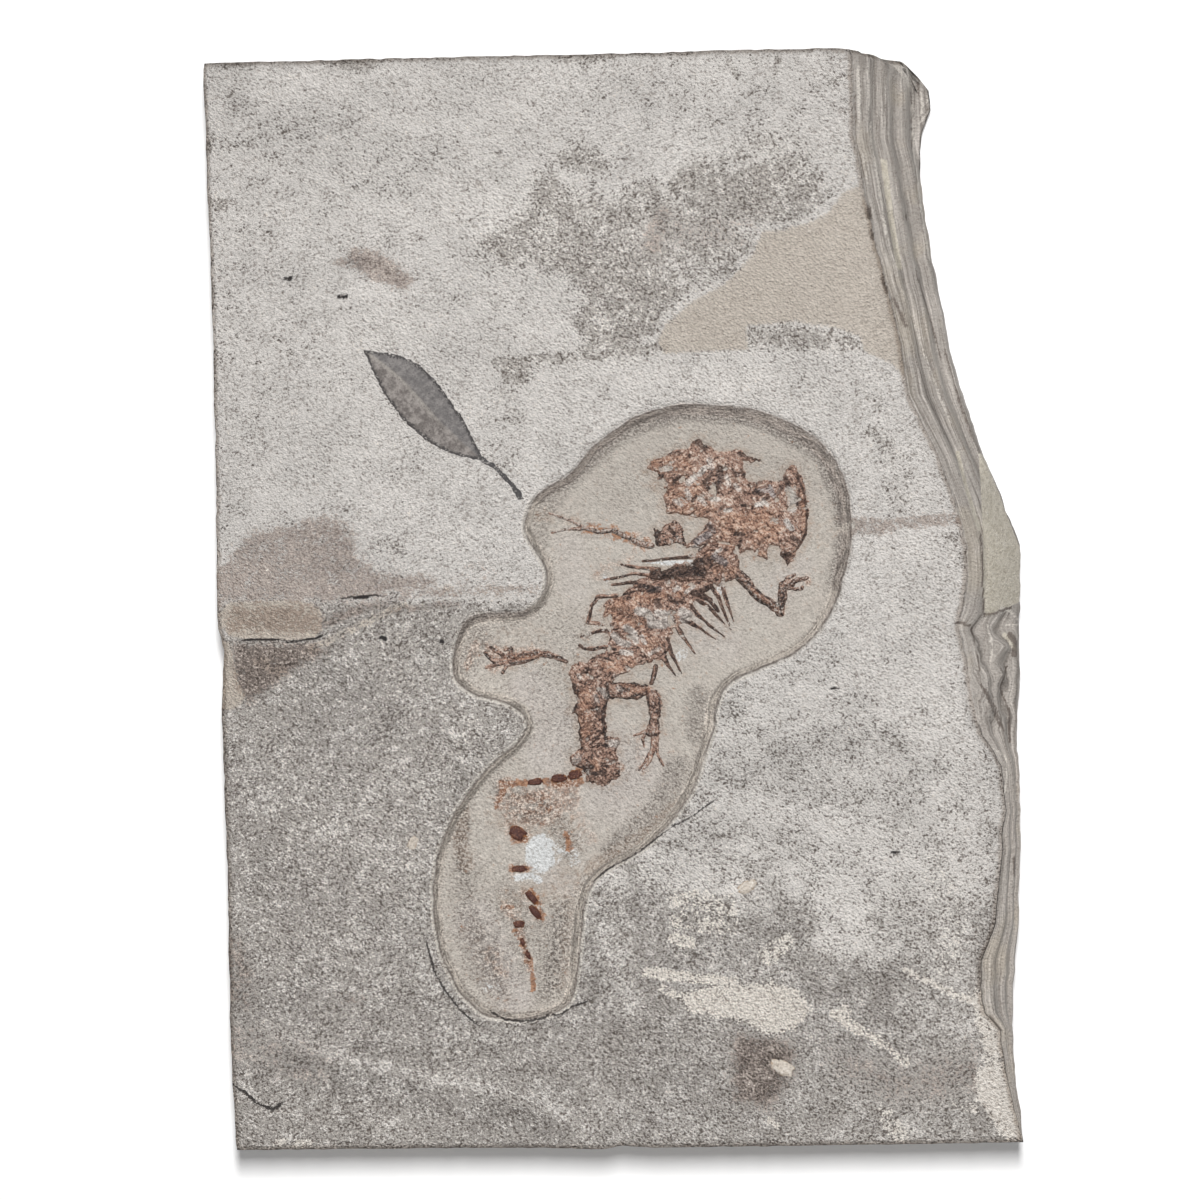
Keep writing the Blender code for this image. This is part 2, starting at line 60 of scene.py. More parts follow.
# %% [markdown]
# ## Camera, light and floor
#
# The slab lies on a white table and the camera looks straight down on it from 0.87 m, so the
# broken side on the right is seen down its steps. One soft lamp stands high, a little beyond the
# top edge: the near edge throws a short soft shadow, and the walls of the hollow are dark at
# the top and bright at the bottom. The rest of the light is an even pale sky. The
# Standard view transform is used because the stone's colours are given as they should appear.

# %% Set the camera
VIEW_WIDTH = 217.0  # mm that the camera sees across at the height of the face
CAMERA_HEIGHT = 870.0  # above the face
CAMERA_X = -2.35
SENSOR = 36.0  # mm across

scene = bpy.context.scene
scene.view_settings.view_transform = "Standard"
camera = bpy.data.objects.new("camera", bpy.data.cameras.new("camera"))
scene.collection.objects.link(camera)
camera.data.sensor_width = SENSOR
camera.data.lens = SENSOR * CAMERA_HEIGHT / VIEW_WIDTH
camera.data.clip_start = 0.01
camera.location = (CAMERA_X * MM, 0.0, (FACE + CAMERA_HEIGHT) * MM)
scene.camera = camera
print(f"lens {camera.data.lens:.1f} mm")

# %% Set the lamp and the sky
LAMP_AZIMUTH, LAMP_ELEVATION = np.radians((90.0, 80.5))
LAMP_DISTANCE = 1.0
LAMP_WIDTH, LAMP_LENGTH = 0.07, 0.19
LAMP_SHARE, SKY_SHARE = 0.90, 0.13  # of the light on the face; together just over one


def aimed(name, kind, place):
    """A light object at a place in metres that looks at the middle of the slab."""
    light = bpy.data.objects.new(name, bpy.data.lights.new(name, kind))
    scene.collection.objects.link(light)
    light.location = place
    toward = -light.location
    light.rotation_euler = toward.to_track_quat("-Z", "Y").to_euler()
    return light


lamp_place = LAMP_DISTANCE * np.array((np.cos(LAMP_AZIMUTH) * np.cos(LAMP_ELEVATION),
                                       np.sin(LAMP_AZIMUTH) * np.cos(LAMP_ELEVATION),
                                       np.sin(LAMP_ELEVATION)))
lamp = aimed("lamp", "AREA", lamp_place)
lamp.data.shape = "RECTANGLE"
lamp.data.size, lamp.data.size_y = LAMP_WIDTH, LAMP_LENGTH
lamp.data.energy = np.pi ** 2 * LAMP_SHARE * LAMP_DISTANCE ** 2 / np.sin(LAMP_ELEVATION)

sky = bpy.data.worlds.new("sky")
sky.use_nodes = True
sky.node_tree.nodes["Background"].inputs["Color"].default_value = (1.0, 1.0, 1.0, 1.0)
sky.node_tree.nodes["Background"].inputs["Strength"].default_value = SKY_SHARE
scene.world = sky
print(f"lamp {lamp.data.energy:.1f} W")

# %% Lay the floor
FLOOR_SIZE = 8.0  # metres, so that its edge is out of sight from every side
FLOOR_GLOW = 0.15  # keeps the table pure white round the slab, with the shadow still on it

floor_mesh = bpy.data.meshes.new("table")
corners = np.array([(-1, -1, 0), (1, -1, 0), (1, 1, 0), (-1, 1, 0)]) * FLOOR_SIZE / 2.0
floor_mesh.from_pydata(corners.tolist(), [], [(0, 1, 2, 3)])
table = bpy.data.objects.new("table", floor_mesh)
scene.collection.objects.link(table)
paper = bpy.data.materials.new("white paper")
paper.use_nodes = True
paper_shader = paper.node_tree.nodes["Principled BSDF"]
paper_shader.inputs["Base Color"].default_value = (0.95, 0.95, 0.95, 1.0)
paper_shader.inputs["Roughness"].default_value = 0.9
paper_shader.inputs["Emission Color"].default_value = (1.0, 1.0, 1.0, 1.0)
paper_shader.inputs["Emission Strength"].default_value = FLOOR_GLOW
floor_mesh.materials.append(paper)
print(f"table {FLOOR_SIZE:.0f} m wide")

# %% [markdown]
# ## Drawing tools
#
# Stone, bone and leaf are all drawn with the same few tools: a smooth random field, the
# distance to a line, and the depth inside an outline. Each works on whole arrays of points at
# once. A line is only a handful of points, so looping over its pieces costs nothing.

# %% Smooth random fields
LATTICE = np.random.default_rng(12).random((256, 256))


def ramp(value, low, high):
    """0 below low, 1 above high, and the smooth curve 3t^2 - 2t^3 between them."""
    t = np.clip((value - low) / (high - low), 0.0, 1.0)
    return t * t * (3.0 - 2.0 * t)


def noise(x, y, size, seed):
    """Soft bumps from -1 to 1, each about size across.

    Random heights on a square lattice, joined along x and y by the smooth curve of ramp.
    """
    u, v = x / size + 37.13 * seed, y / size + 91.71 * seed
    i, j = np.floor(u).astype(int), np.floor(v).astype(int)
    s, t = ramp(u - i, 0.0, 1.0), ramp(v - j, 0.0, 1.0)
    i0, j0, i1, j1 = i & 255, j & 255, (i + 1) & 255, (j + 1) & 255
    near = LATTICE[i0, j0] * (1.0 - s) + LATTICE[i1, j0] * s
    far = LATTICE[i0, j1] * (1.0 - s) + LATTICE[i1, j1] * s
    return 2.0 * (near * (1.0 - t) + far * t) - 1.0


def rough(x, y, size, seed, layers=3):
    """Several noises added up, each half as large and half as high as the one before."""
    return sum(noise(x, y, size / 2 ** k, seed + k) / 2 ** k for k in range(layers))


def shards(x, y, size, seed):
    """A surface broken in shards about size across.

    Each lattice square holds one random seed point, and a place belongs to the nearest one.
    Gives a random number for the shard, the offset from its middle, and the distance to the
    next shard in units of size.
    """
    u, v = x / size, y / size
    i, j = np.floor(u).astype(int), np.floor(v).astype(int)
    first, second = np.full(u.shape, 9.0), np.full(u.shape, 9.0)
    lot, du, dv = np.zeros(u.shape), np.zeros(u.shape), np.zeros(u.shape)
    for di in (-1, 0, 1):
        for dj in (-1, 0, 1):
            a, b = (i + di + 5 * seed) & 255, (j + dj + 11 * seed) & 255
            cu = u - (i + di + LATTICE[a, b])
            cv = v - (j + dj + LATTICE[b, (a + 97) & 255])
            distance = np.hypot(cu, cv)
            second = np.minimum(second, np.maximum(first, distance))
            nearer = distance < first
            first = np.where(nearer, distance, first)
            lot = np.where(nearer, LATTICE[(a + 41) & 255, (b + 13) & 255], lot)
            du, dv = np.where(nearer, cu, du), np.where(nearer, cv, dv)
    return lot, du, dv, second - first


print("lattice of", LATTICE.size, "random heights")

# %% Lines


def along(x, y, path):
    """Distance to a line of straight pieces, which side of it, and how far along it from 0 to 1.

    Each piece gives the distance to its nearest point, and the smallest one is kept.
    """
    path = np.asarray(path, float)
    steps = np.diff(path, axis=0)
    lengths = np.hypot(*steps.T)
    starts = np.concatenate(([0.0], np.cumsum(lengths)))
    best = np.full(np.shape(x), 1e9)
    side, share = np.zeros(np.shape(x)), np.zeros(np.shape(x))
    for (ax, ay), (sx, sy), length, start in zip(path, steps, lengths, starts):
        t = np.clip(((x - ax) * sx + (y - ay) * sy) / length ** 2, 0.0, 1.0)
        dx, dy = x - ax - t * sx, y - ay - t * sy
        distance = np.hypot(dx, dy)
        nearer = distance < best
        best = np.where(nearer, distance, best)
        side = np.where(nearer, np.sign(sx * dy - sy * dx), side)
        share = np.where(nearer, (start + t * length) / starts[-1], share)
    return best, side, share


def curve(points, steps, closed=False):
    """A smooth Catmull-Rom line through the points, with steps places on each piece."""
    points = np.asarray(points, float)
    if closed:
        before, here = np.roll(points, 1, 0), points
        after, beyond = np.roll(points, -1, 0), np.roll(points, -2, 0)
    else:
        padded = np.vstack((2 * points[0] - points[1], points, 2 * points[-1] - points[-2]))
        before, here, after, beyond = padded[:-3], padded[1:-2], padded[2:-1], padded[3:]
    t = (np.arange(steps) / steps)[None, :, None]
    a, b, c, d = (p[:, None, :] for p in (before, here, after, beyond))
    line = 0.5 * (2 * b + (c - a) * t + (2 * a - 5 * b + 4 * c - d) * t ** 2
                  + (3 * b - 3 * c + d - a) * t ** 3)
    line = line.reshape(-1, 2)
    return line if closed else np.vstack((line, points[-1]))


corner = curve(((0.0, 0.0), (1.0, 0.0), (1.0, 1.0)), 8)
print(f"a smooth corner of {len(corner)} places bulges to x = {corner[:, 0].max():.2f}")

# %% Outlines and marks


def depth(x, y, outline):
    """How deep a point is inside a closed outline in mm: above zero inside, below zero outside."""
    outline = np.asarray(outline, float)
    closed = np.vstack((outline, outline[:1]))
    inside = np.zeros(np.shape(x), bool)
    for (ax, ay), (bx, by) in zip(closed[:-1], closed[1:]):
        crosses = (ay > y) != (by > y)
        rise = by - ay if by != ay else 1.0
        inside ^= crosses & (x < (bx - ax) * (y - ay) / rise + ax)
    return np.where(inside, 1.0, -1.0) * along(x, y, closed)[0]


def soft_shape(x, y, shape, width):
    """Weight of a hand-placed mark, 1 in it and 0 outside, over a soft edge.

    A shape whose first point is repeated at its end is an area with an edge width wide; any
    other is a stroke whose half-width is width.
    """
    shape = np.asarray(shape, float)
    reach = 2.0 * width
    low, high = shape.min(0) - reach, shape.max(0) + reach
    near = (x > low[0]) & (x < high[0]) & (y > low[1]) & (y < high[1])
    weight = np.zeros(np.shape(x))
    px, py = x[near], y[near]
    if np.array_equal(shape[0], shape[-1]):
        weight[near] = ramp(depth(px, py, shape[:-1]), -width, width)
    else:
        weight[near] = 1.0 - ramp(along(px, py, shape)[0], 0.45 * width, 1.35 * width)
    return weight


def marks(x, y, table):
    """The strongest weight at each point of a table of (strength, width, points of the shape)."""
    weight = np.zeros(np.shape(x))
    for strength, width, *shape in table:
        weight = np.maximum(weight, strength * soft_shape(x, y, shape, width))
    return weight


unit_square = ((-1.0, -1.0), (1.0, -1.0), (1.0, 1.0), (-1.0, 1.0))
print("depth in the middle of a square 2 mm wide:", depth(np.zeros(1), np.zeros(1), unit_square)[0])

# %% [markdown]
# ## The newt's bones
#
# The bones are crushed flat: plates and rods that stand less than a millimetre and a half above
# the bed, broken into shards. A bone is worked out as a height above the bed on a fine grid. A
# rod is a parabola across its line, a plate is level with rounded edges, and the highest one
# counts. Both go on falling outside their outlines, so the bed itself cuts the outline, and
# only the squares near the bone are kept and closed underneath.

# %% Outlines of the bones in mm
SKULL_PLATE = ((6.2, 23.8), (7.6, 25.4), (10.1, 26.7), (13.6, 27.6), (14.4, 28.8), (15.8, 29.2), (17, 27.8),
    (18.9, 26.8), (22.8, 27.1), (24.3, 26.3), (26.5, 25.3), (24, 25), (23.8, 23.2), (24.7, 21.3),
    (28.9, 21.7), (30.7, 21.6), (31.2, 23.6), (32.6, 24.4), (34, 22.5), (34.9, 19.5), (35.4, 15.5),
    (35.3, 12), (34.2, 9.9), (32.9, 8.8), (32.6, 6.9), (31.6, 6.1), (30.4, 7.9), (30, 9.7), (28.6, 9.6),
    (28, 7.4), (26.3, 8.2), (24.1, 9), (23, 8.2), (22.6, 9.6), (19.2, 10.4), (17, 10), (15.2, 9.7),
    (14.3, 10.5), (16.4, 12.6), (17.2, 14.6), (13.4, 15.1), (9.8, 15.8), (9.2, 17.2), (9.6, 19.8),
    (7, 20.7), (8.1, 22.5))
FRAGMENT = ((13.3, 9.5), (14.2, 10.8), (15.4, 12), (17, 12.7), (18.3, 13.2), (19.1, 12.5), (18.2, 11.4),
    (16.9, 10.1), (15.4, 9.5))
SKULL_ARC = ((32.6, 23.6), (34.0, 20.0), (34.6, 15.5), (34.3, 12.0), (32.9, 9.9), (31.6, 8.4))
SHOULDER_PLATE = ((7.5, 12.9), (8.8, 12.3), (9.5, 13.8), (10.9, 14.6), (12.3, 13.6), (13.2, 11),
    (13.2, 9.9), (9.6, 9.9), (7.9, 10.2))
NECK_PLATE = ((15.6, 9.4), (17, 10.3), (19.4, 10.6), (22.3, 9.8), (22.6, 8), (23, 5.8), (23.2, 4.4),
    (22.2, 3.6), (19.9, 2.6), (17.8, 3), (15, 3.9), (14.6, 7.2))
BACKBONE_PLATE = ((6.4, 4.1), (7.2, 5.5), (10.4, 6), (13, 6.7), (16, 6.6), (17, 4.6), (14.2, 3.3),
    (10.6, 3.8), (7.4, 3.5))
BODY_PLATE = ((3.9, 3.4), (7.4, 4.4), (12, 4), (17, 3.6), (18.2, 2.2), (15.8, 1), (14.8, -0.2),
    (14.9, -1.8), (14.3, -3.6), (12.6, -4.4), (11, -5.3), (10.2, -7.4), (9.6, -10.8), (7.4, -11.4),
    (4.6, -12), (2.2, -13.2), (0, -14.9), (-7.2, -15.4), (-7.9, -13.2), (-7.4, -11.9), (-4.6, -10.9),
    (-1.4, -9.6), (-0.7, -7), (-0.9, -5), (-1.8, -3.6), (-1.6, -1.4), (-0.6, 0.1), (1.6, 0.9))
SPINES = (((15.2, 8), (10, 7.4), (5.4, 7)), ((7, 4.6), (3.5, 4.8), (1.2, 4.1), (-1.6, 3.7)),
    ((5.2, 3.3), (2.4, 3), (-0.2, 2.7)), ((8.4, 5.6), (3.7, 5.9), (1.5, 6.4)))
LEFT_RIBS = (((0.6, 0.7), (-2.8, 0.6), (-3.8, -1), (-4.5, -4), (-0.6, -4.6)),
    ((0.4, -5.8), (-2, -5.5), (-3.8, -6), (-5.6, -6.7)), ((0.6, -9.1), (-1.5, -8.6), (-3, -8.8),
     (-4.9, -8.9), (-6, -8.3)))
RIGHT_RIBS = (((19.6, 3.2), (20.5, 0.3), (21.1, -1.6), (21.8, -3.8)),
    ((17.6, 3), (19.1, 0.4), (20.2, -2.4), (21.4, -5.3)),
    ((14.5, 0.8), (17, -1), (18.8, -2.8), (20.3, -4.4)),
    ((13.9, -1), (15.3, -2.6), (17.4, -4.6), (20.2, -6.6)),
    ((12.8, -3.4), (14.7, -4.4), (16.7, -5.8), (18.6, -7.1)), ((11.4, -4.6), (12.8, -6.8), (14.9, -9.8)),
    ((9.6, -6.8), (10.9, -10.4), (12.4, -13.3)), ((9, -10.4), (10.2, -12), (11.3, -13.6)))
FIRST_RIB = ((14.4, 1.4), (16.2, 0.9), (17.5, 0.0), (19.0, -1.9))
LOOSE_RIB = ((7.7, -12.1), (7.5, -13.4), (7.0, -15.0))
RIGHT_THIGH = ((-1.4, -14.7), (3, -14.9), (6.4, -15.3), (7.1, -17), (5.6, -17.8), (2.4, -18.2),
    (-1.4, -18.2))
RIGHT_SHIN = ((5.4, -15.8), (7.6, -16.1), (8.7, -17.6), (9, -19.6), (8.3, -22.6), (8.6, -24), (7.6, -24.9),
    (5.7, -24.2), (6.3, -22.4), (6.2, -19.4))
RIGHT_TOES = (((6.2, -23.8), (4.9, -24.2), (3.8, -24.6)), ((6, -23.9), (5.4, -25.2), (5.6, -26.5)),
    ((7.4, -24.2), (7.1, -27.2), (5.9, -29.2), (4.8, -30.8)),
    ((7.6, -24.4), (7.5, -27.2), (6.7, -29.2), (5.5, -31)), ((7.9, -24.4), (8, -28), (9.2, -29.9)))
LEFT_THIGH = ((-8.5, -11.1), (-9.5, -10.7), (-11.9, -9.9), (-14.0, -9.8))
LEFT_SHINS = (((-13.6, -9.6), (-15.6, -9.7), (-18.6, -10.6)),
    ((-13.8, -10.2), (-15.8, -10.9), (-18.8, -11.6)))
LEFT_ANKLE = ((-17.9, -10.0), (-18.0, -12.0), (-19.6, -12.0), (-20.0, -10.4), (-19.0, -9.6))
LEFT_TOES = (((-18.7, -10.2), (-18.4, -8.7), (-19.6, -9.2)), ((-19.4, -10.4), (-20.9, -9.4), (-22.3, -8.5)),
    ((-19.5, -11), (-21.8, -10.9), (-23.2, -9.6)), ((-19.4, -11.4), (-21.2, -11.7), (-23, -12.2)),
    ((-19, -11.6), (-19.5, -12.4), (-20, -13.2)))
RIGHT_UPPER_ARM = ((22.8, 4.5), (24.4, 2.8), (26.6, 0.6), (29.0, -1.0), (30.4, -1.7))
RIGHT_FOREARM = ((30.3, -2.2), (30.8, 0.2), (30.6, 2.8), (32.4, 3.0))
RIGHT_FINGERS = (((31.4, 2.8), (33.4, 3.6), (35.2, 4)), ((31.6, 2.4), (33, 2), (34.4, 2.2)),
    ((31.2, 2.8), (31.8, 4), (32.8, 4.6)))
LEFT_ARM = ((6.9, 9.7), (4.6, 10.4), (2.4, 11.5), (-0.2, 12.7), (-2.6, 12.3), (-5.4, 13.2))
LEFT_FINGERS = (((-5.0, 13.1), (-8.2, 14.6), (-11.6, 15.8)), ((-5.0, 13.0), (-8.6, 12.8), (-11.0, 12.2)))
TAIL_BASE = ((-7.4, -14.6), (-6.9, -18.5), (-7.8, -20.5), (-6.7, -20.9), (-6.1, -25.2), (-5.5, -27),
    (-7.7, -28.4), (-7.4, -29.9), (-5.3, -30.4), (-4.9, -33), (-1.5, -33.5), (1.4, -32), (1, -29.8),
    (0.4, -27.4), (1.4, -26.1), (0.8, -25), (-1.1, -24.6), (-1.4, -21.5), (-1, -18.4), (-0.6, -14.4))
print("skull plate of", len(SKULL_PLATE), "points,", len(LEFT_RIBS) + len(RIGHT_RIBS), "ribs")

# %% [markdown]
# ### Where the bones are dark, pale, rusty or grey
#
# Bone this old is a patchwork: black-brown where it is thick, orange where iron stained it, and
# cream where the surface has spalled. These strokes and blobs are placed once for the whole
# animal, and every bone reads the ones that cross it.

# %% Place the tones of the bones
DARK_BONE = ((0.5, 1.2, (7.4, 4.9), (12, 5.6), (16, 5.6)), (0.45, 1.2, (17, 7.4), (20, 6)),
    (0.3, 1.6, (2, -2), (6, -4), (8, -8)), (1, 0.45, (22.9, 26.5), (24.5, 26.1), (26.4, 25.3)),
    (0.85, 0.8, (14.9, 28.8), (15.9, 28.3), (16.6, 27.6)),
    (0.75, 0.8, (19.3, 23.8), (19.5, 21.8), (18.6, 20.2)), (0.9, 0.35, (11, 21.3), (11.9, 22.5)),
    (0.7, 0.35, (7.8, 22.6), (9, 22.4)), (0.8, 0.35, (14.4, 17.9), (15, 18.9)),
    (0.9, 0.4, (17.1, 20.6), (17.7, 19.8)), (0.75, 0.5, (16.6, 21.2), (17.8, 22.8)),
    (0.85, 0.5, (32.6, 11.4), (33.5, 10.6)), (0.9, 0.45, (25.6, 19.4), (27, 19.3)),
    (0.9, 0.35, (27.2, 18.3), (28.2, 18.6)), (1, 0.55, (31.2, 22.1), (31.8, 21)),
    (0.8, 0.5, (30.6, 20.6), (30, 19.6)), (1, 0.75, (31, 8.3), (31.7, 8)),
    (0.7, 0.5, (31.6, 7), (31.9, 6.4)), (0.9, 0.45, (22.3, 12), (23.6, 11.9)), (0.8, 0.3, (33.4, 22.6),
     (34.6, 19.4), (35.2, 15.6), (34.9, 12), (33.8, 9.9)), (0.7, 0.3, (33.7, 20), (33.5, 17.2)),
    (0.8, 0.35, (19.4, 16.4), (20, 17)), (0.9, 0.3, (23.3, 17.2), (24.6, 17)),
    (0.7, 0.45, (23.2, 23.4), (24.1, 22.4)), (0.7, 0.5, (21.6, 23.4), (22.6, 22.6)),
    (0.6, 0.5, (24.6, 20.8), (26.8, 21.4)), (0.6, 0.4, (8.6, 17.6), (9.6, 17)),
    (0.6, 0.4, (10.4, 26.6), (12, 26.8)), (0.8, 0.35, (14, 10.7), (15.2, 12.2), (16.8, 13.1)),
    (0.9, 0.45, (13.1, 8.8), (14.1, 9.1)), (0.75, 0.35, (15, 9), (16.6, 9.8), (17.6, 11.2)),
    (0.7, 0.35, (17.2, 13.6), (18.4, 12.8)), (0.9, 0.75, (8, 12.4), (8.1, 10.6)),
    (0.7, 0.45, (10.4, 12.8), (11, 12)), (0.75, 0.4, (22.4, 8.8), (23.2, 10.6)),
    (0.6, 0.4, (26.4, 10.2), (28.2, 11.6)), (0.9, 0.3, (5.6, 7.1), (9, 7.4), (14.2, 7.9)),
    (0.8, 0.25, (5.4, 8), (9.6, 8.2), (14, 8.5)), (1, 1.2, (7.6, 4.6), (10.4, 5), (13.4, 5.2), (16, 5)),
    (0.8, 0.9, (14.6, 6.6), (17.2, 7.2)), (0.95, 0.35, (-0.2, 3.9), (1.6, 4.4), (4.1, 4.5)),
    (0.95, 0.35, (0.2, 2.7), (2.4, 3), (4.2, 3.2)), (0.9, 0.3, (1.5, 6.4), (2.8, 6.1), (3.8, 5.9)),
    (0.8, 0.6, (5, 2.6), (7, 2.2)), (0.9, 0.25, (-1.2, 0.4), (1, 0.7), (3.8, 1.5)),
    (0.85, 0.6, (6.6, 1.6), (8.2, 1.8)), (1, 0.7, (8.2, -0.9), (8, -0.3)),
    (0.6, 0.6, (10, 0.6), (11.6, -0.6)), (1, 0.25, (-4.6, -4.3), (-4.2, -3), (-3.7, -1), (-3.2, 0.2),
     (-2.6, 0.6), (-1.2, 0.3)), (1, 0.25, (-0.5, -5.6), (-2, -5.5), (-3.5, -5.9), (-5.4, -6.5)),
    (1, 0.25, (-6, -8.3), (-4.8, -8.9), (-3, -8.8), (-1.5, -8.6), (0.5, -9)),
    (0.9, 0.25, (-4.8, -10.9), (-4, -10.3), (-2.5, -9.6)),
    (0.8, 0.25, (-4.2, -10.4), (-2, -10.4), (0, -11)), (1, 0.7, (14.6, 1.3), (16.2, 1), (17.3, 0.2),
     (18.5, -1), (19, -1.9)), (0.9, 0.6, (16.2, 1.8), (18.2, 2.4)), (0.9, 0.45, (14.2, -1.2), (14.9, -1.9)),
    (0.9, 0.3, (14.4, -1.5), (15.3, -2.6), (17, -4.2), (18.8, -5.5), (20.2, -6.6)), (0.9, 0.3, (15.3, 0.1),
     (16.7, -0.7), (18, -2), (19.2, -3.2), (20.3, -4.3)), (0.75, 0.25, (12.5, -3.5), (14.7, -4.4),
     (16.7, -5.8), (18.6, -7)), (0.8, 0.25, (18.2, 1.8), (19.3, 0.2), (20, -1.5), (20.6, -3.3),
     (21.4, -5.2)), (0.8, 0.25, (19.8, 2.3), (20.6, 0.3), (21.2, -1.5), (21.8, -3.6)),
    (0.9, 0.3, (11, -5.2), (12, -6.8), (13.3, -8.4), (14.9, -10)),
    (0.9, 0.25, (12, -4.8), (12.9, -6.5), (14.7, -9)), (1, 0.35, (9.9, -7), (10.5, -8.5), (11, -10.5),
     (11.6, -12), (12.4, -13.3)), (0.8, 0.25, (9.3, -8), (9.5, -10), (10.2, -11.9), (11.4, -13.6)),
    (0.7, 0.25, (7.9, -11.3), (7.8, -13), (7.3, -14.9)),
    (0.8, 0.2, (7.2, -11.4), (7.1, -13.2), (6.6, -14.8)), (0.7, 0.3, (-2.2, -12.7), (-1.8, -12.4)),
    (0.6, 0.5, (-5.6, -13.4), (-4.6, -12.4)), (0.9, 0.25, (0, -15), (2.6, -14.9), (6.2, -15.5)),
    (0.9, 0.25, (-0.3, -17.9), (2.5, -17.9), (4.8, -17.1), (6.3, -17.8)),
    (1, 0.4, (2, -16.2), (2.8, -16.4)), (0.7, 0.25, (8.3, -17.6), (8.5, -20), (8.3, -22.8)),
    (0.7, 0.25, (6.4, -17.4), (6.5, -20), (6.6, -22.4)), (0.8, 0.4, (6, -24.2), (7.8, -24.4)),
    (0.7, 0.3, (23, 3.4), (25.6, 0.6), (28.6, -1.6)), (0.7, 0.25, (24.2, 3.4), (27, 1), (30.2, -1)),
    (0.7, 0.3, (30.4, -2.4), (30.8, -0.6)), (0.7, 0.3, (30.9, 0.4), (31.1, 1.6)),
    (0.6, 0.3, (31.8, 2.6), (32.6, 3.2)), (0.8, 0.25, (-11.9, -9.9), (-9.5, -10.5), (-7.5, -11.2)),
    (0.8, 0.25, (-17.2, -10.1), (-14.8, -9.6)), (0.8, 0.25, (-18.6, -11.5), (-14.6, -10.8)),
    (0.8, 0.25, (-22.4, -8.4), (-21, -9.1)), (0.8, 0.25, (-23.1, -9.8), (-22.3, -10.9)),
    (0.8, 0.3, (-21.9, -11.3), (-20.5, -12), (-19.8, -12.8)),
    (0.7, 0.3, (-19.3, -9.4), (-18.5, -8.6), (-17.9, -9.8)), (0.95, 0.4, (-7, -15.5), (-7.1, -17),
     (-6.9, -18.5), (-7, -19.6), (-7.7, -20.5)), (0.95, 0.4, (-6.8, -20.8), (-6.4, -22.5), (-6.2, -24),
     (-5.9, -25.3)), (0.8, 0.35, (-1, -15), (-0.8, -18.5), (-1.5, -19.5), (-1.9, -21.5), (-1.5, -24),
     (-1.2, -26.5)), (0.6, 0.5, (-3.2, -18.8), (-2.6, -20.6)), (0.5, 0.4, (-4.4, -22.6), (-3.6, -23.8)),
    (0.7, 0.5, (-4.6, -31.2), (-1.6, -31.4)), (0.9, 0.8, (-6.4, -31), (-4, -30.3)))
PALE_BONE = ((0.9, 0.5, (9.6, 23.7), (10.5, 23.9)), (0.8, 0.6, (15.7, 22.8), (16.6, 23.9)),
    (0.8, 0.7, (13.6, 21.2), (14.7, 22.2)), (0.9, 0.45, (17.9, 18.2), (19.1, 18.3)),
    (1, 0.4, (20.3, 16.2), (21.3, 16.3)), (1, 0.5, (26, 17.2), (27.4, 17.6)),
    (0.9, 0.4, (27.2, 18.2), (28, 17.2)), (0.8, 0.8, (31.8, 20), (32.6, 18.6), (32.5, 16.4)),
    (0.7, 0.6, (31.4, 14.4), (32.4, 13)), (0.7, 0.5, (22.2, 20.8), (22.8, 20)),
    (0.6, 0.6, (21, 21), (20.6, 22.4)), (0.7, 0.6, (13.8, 18.6), (13.4, 19.8)),
    (0.6, 0.6, (15.8, 18.4), (16.6, 17.4)), (0.7, 0.5, (11.2, 18), (12.4, 17.2)),
    (0.6, 0.5, (8.6, 21.6), (9.6, 21)), (0.6, 0.7, (17.8, 24), (17.4, 25.4)),
    (0.7, 0.5, (24.2, 8), (25.2, 7.4)), (0.8, 0.5, (14.8, 9.6), (15.6, 9.3)),
    (0.7, 0.4, (18.6, 8.6), (19.6, 9.2)), (0.5, 0.4, (11.6, 11.4), (12.4, 10.6)),
    (0.7, 0.5, (11.2, 1.8), (12, 2.2)), (0.8, 0.4, (13.2, 1.4), (14.6, 2.4)),
    (0.9, 0.45, (5, 5.3), (6.4, 5.2)), (1, 0.9, (4.6, -2), (6.2, -2.4), (7.4, -4.2)),
    (1, 1, (7, -4.2), (9, -4.4), (10.2, -3.6)), (1, 1, (12.6, -2.2), (13.8, -2.8), (13, -3.4)),
    (0.9, 0.9, (8.2, -2.4), (9.6, -2.8)), (0.9, 0.7, (2.4, -5), (3.8, -6), (4.2, -7.4)),
    (0.9, 0.7, (0.2, -6.4), (1.2, -7.6), (2.8, -8)), (0.8, 0.6, (1.6, -9.4), (3.2, -9.6)),
    (0.7, 0.5, (5.2, -6.6), (5.8, -7.8)), (0.6, 0.6, (4, -13), (5.4, -13.2)),
    (0.7, 0.3, (4, -12.6), (4.8, -12.4)), (0.6, 0.5, (6.6, -9.8), (8.4, -8.8)),
    (0.5, 0.5, (0.4, -13.8), (1.4, -14)), (0.7, 0.7, (-1.8, -16.4), (-1.2, -17.4)),
    (0.6, 0.5, (0.8, -16), (1.6, -16.2)), (0.8, 0.9, (-0.2, -26), (0.8, -26)),
    (0.6, 0.9, (-6.4, -28.6), (-6.8, -29.2)), (0.5, 0.5, (-3.2, -17.4), (-2.8, -18.4)),
    (0.6, 0.5, (-6.2, -13.6), (-6, -14.2)))
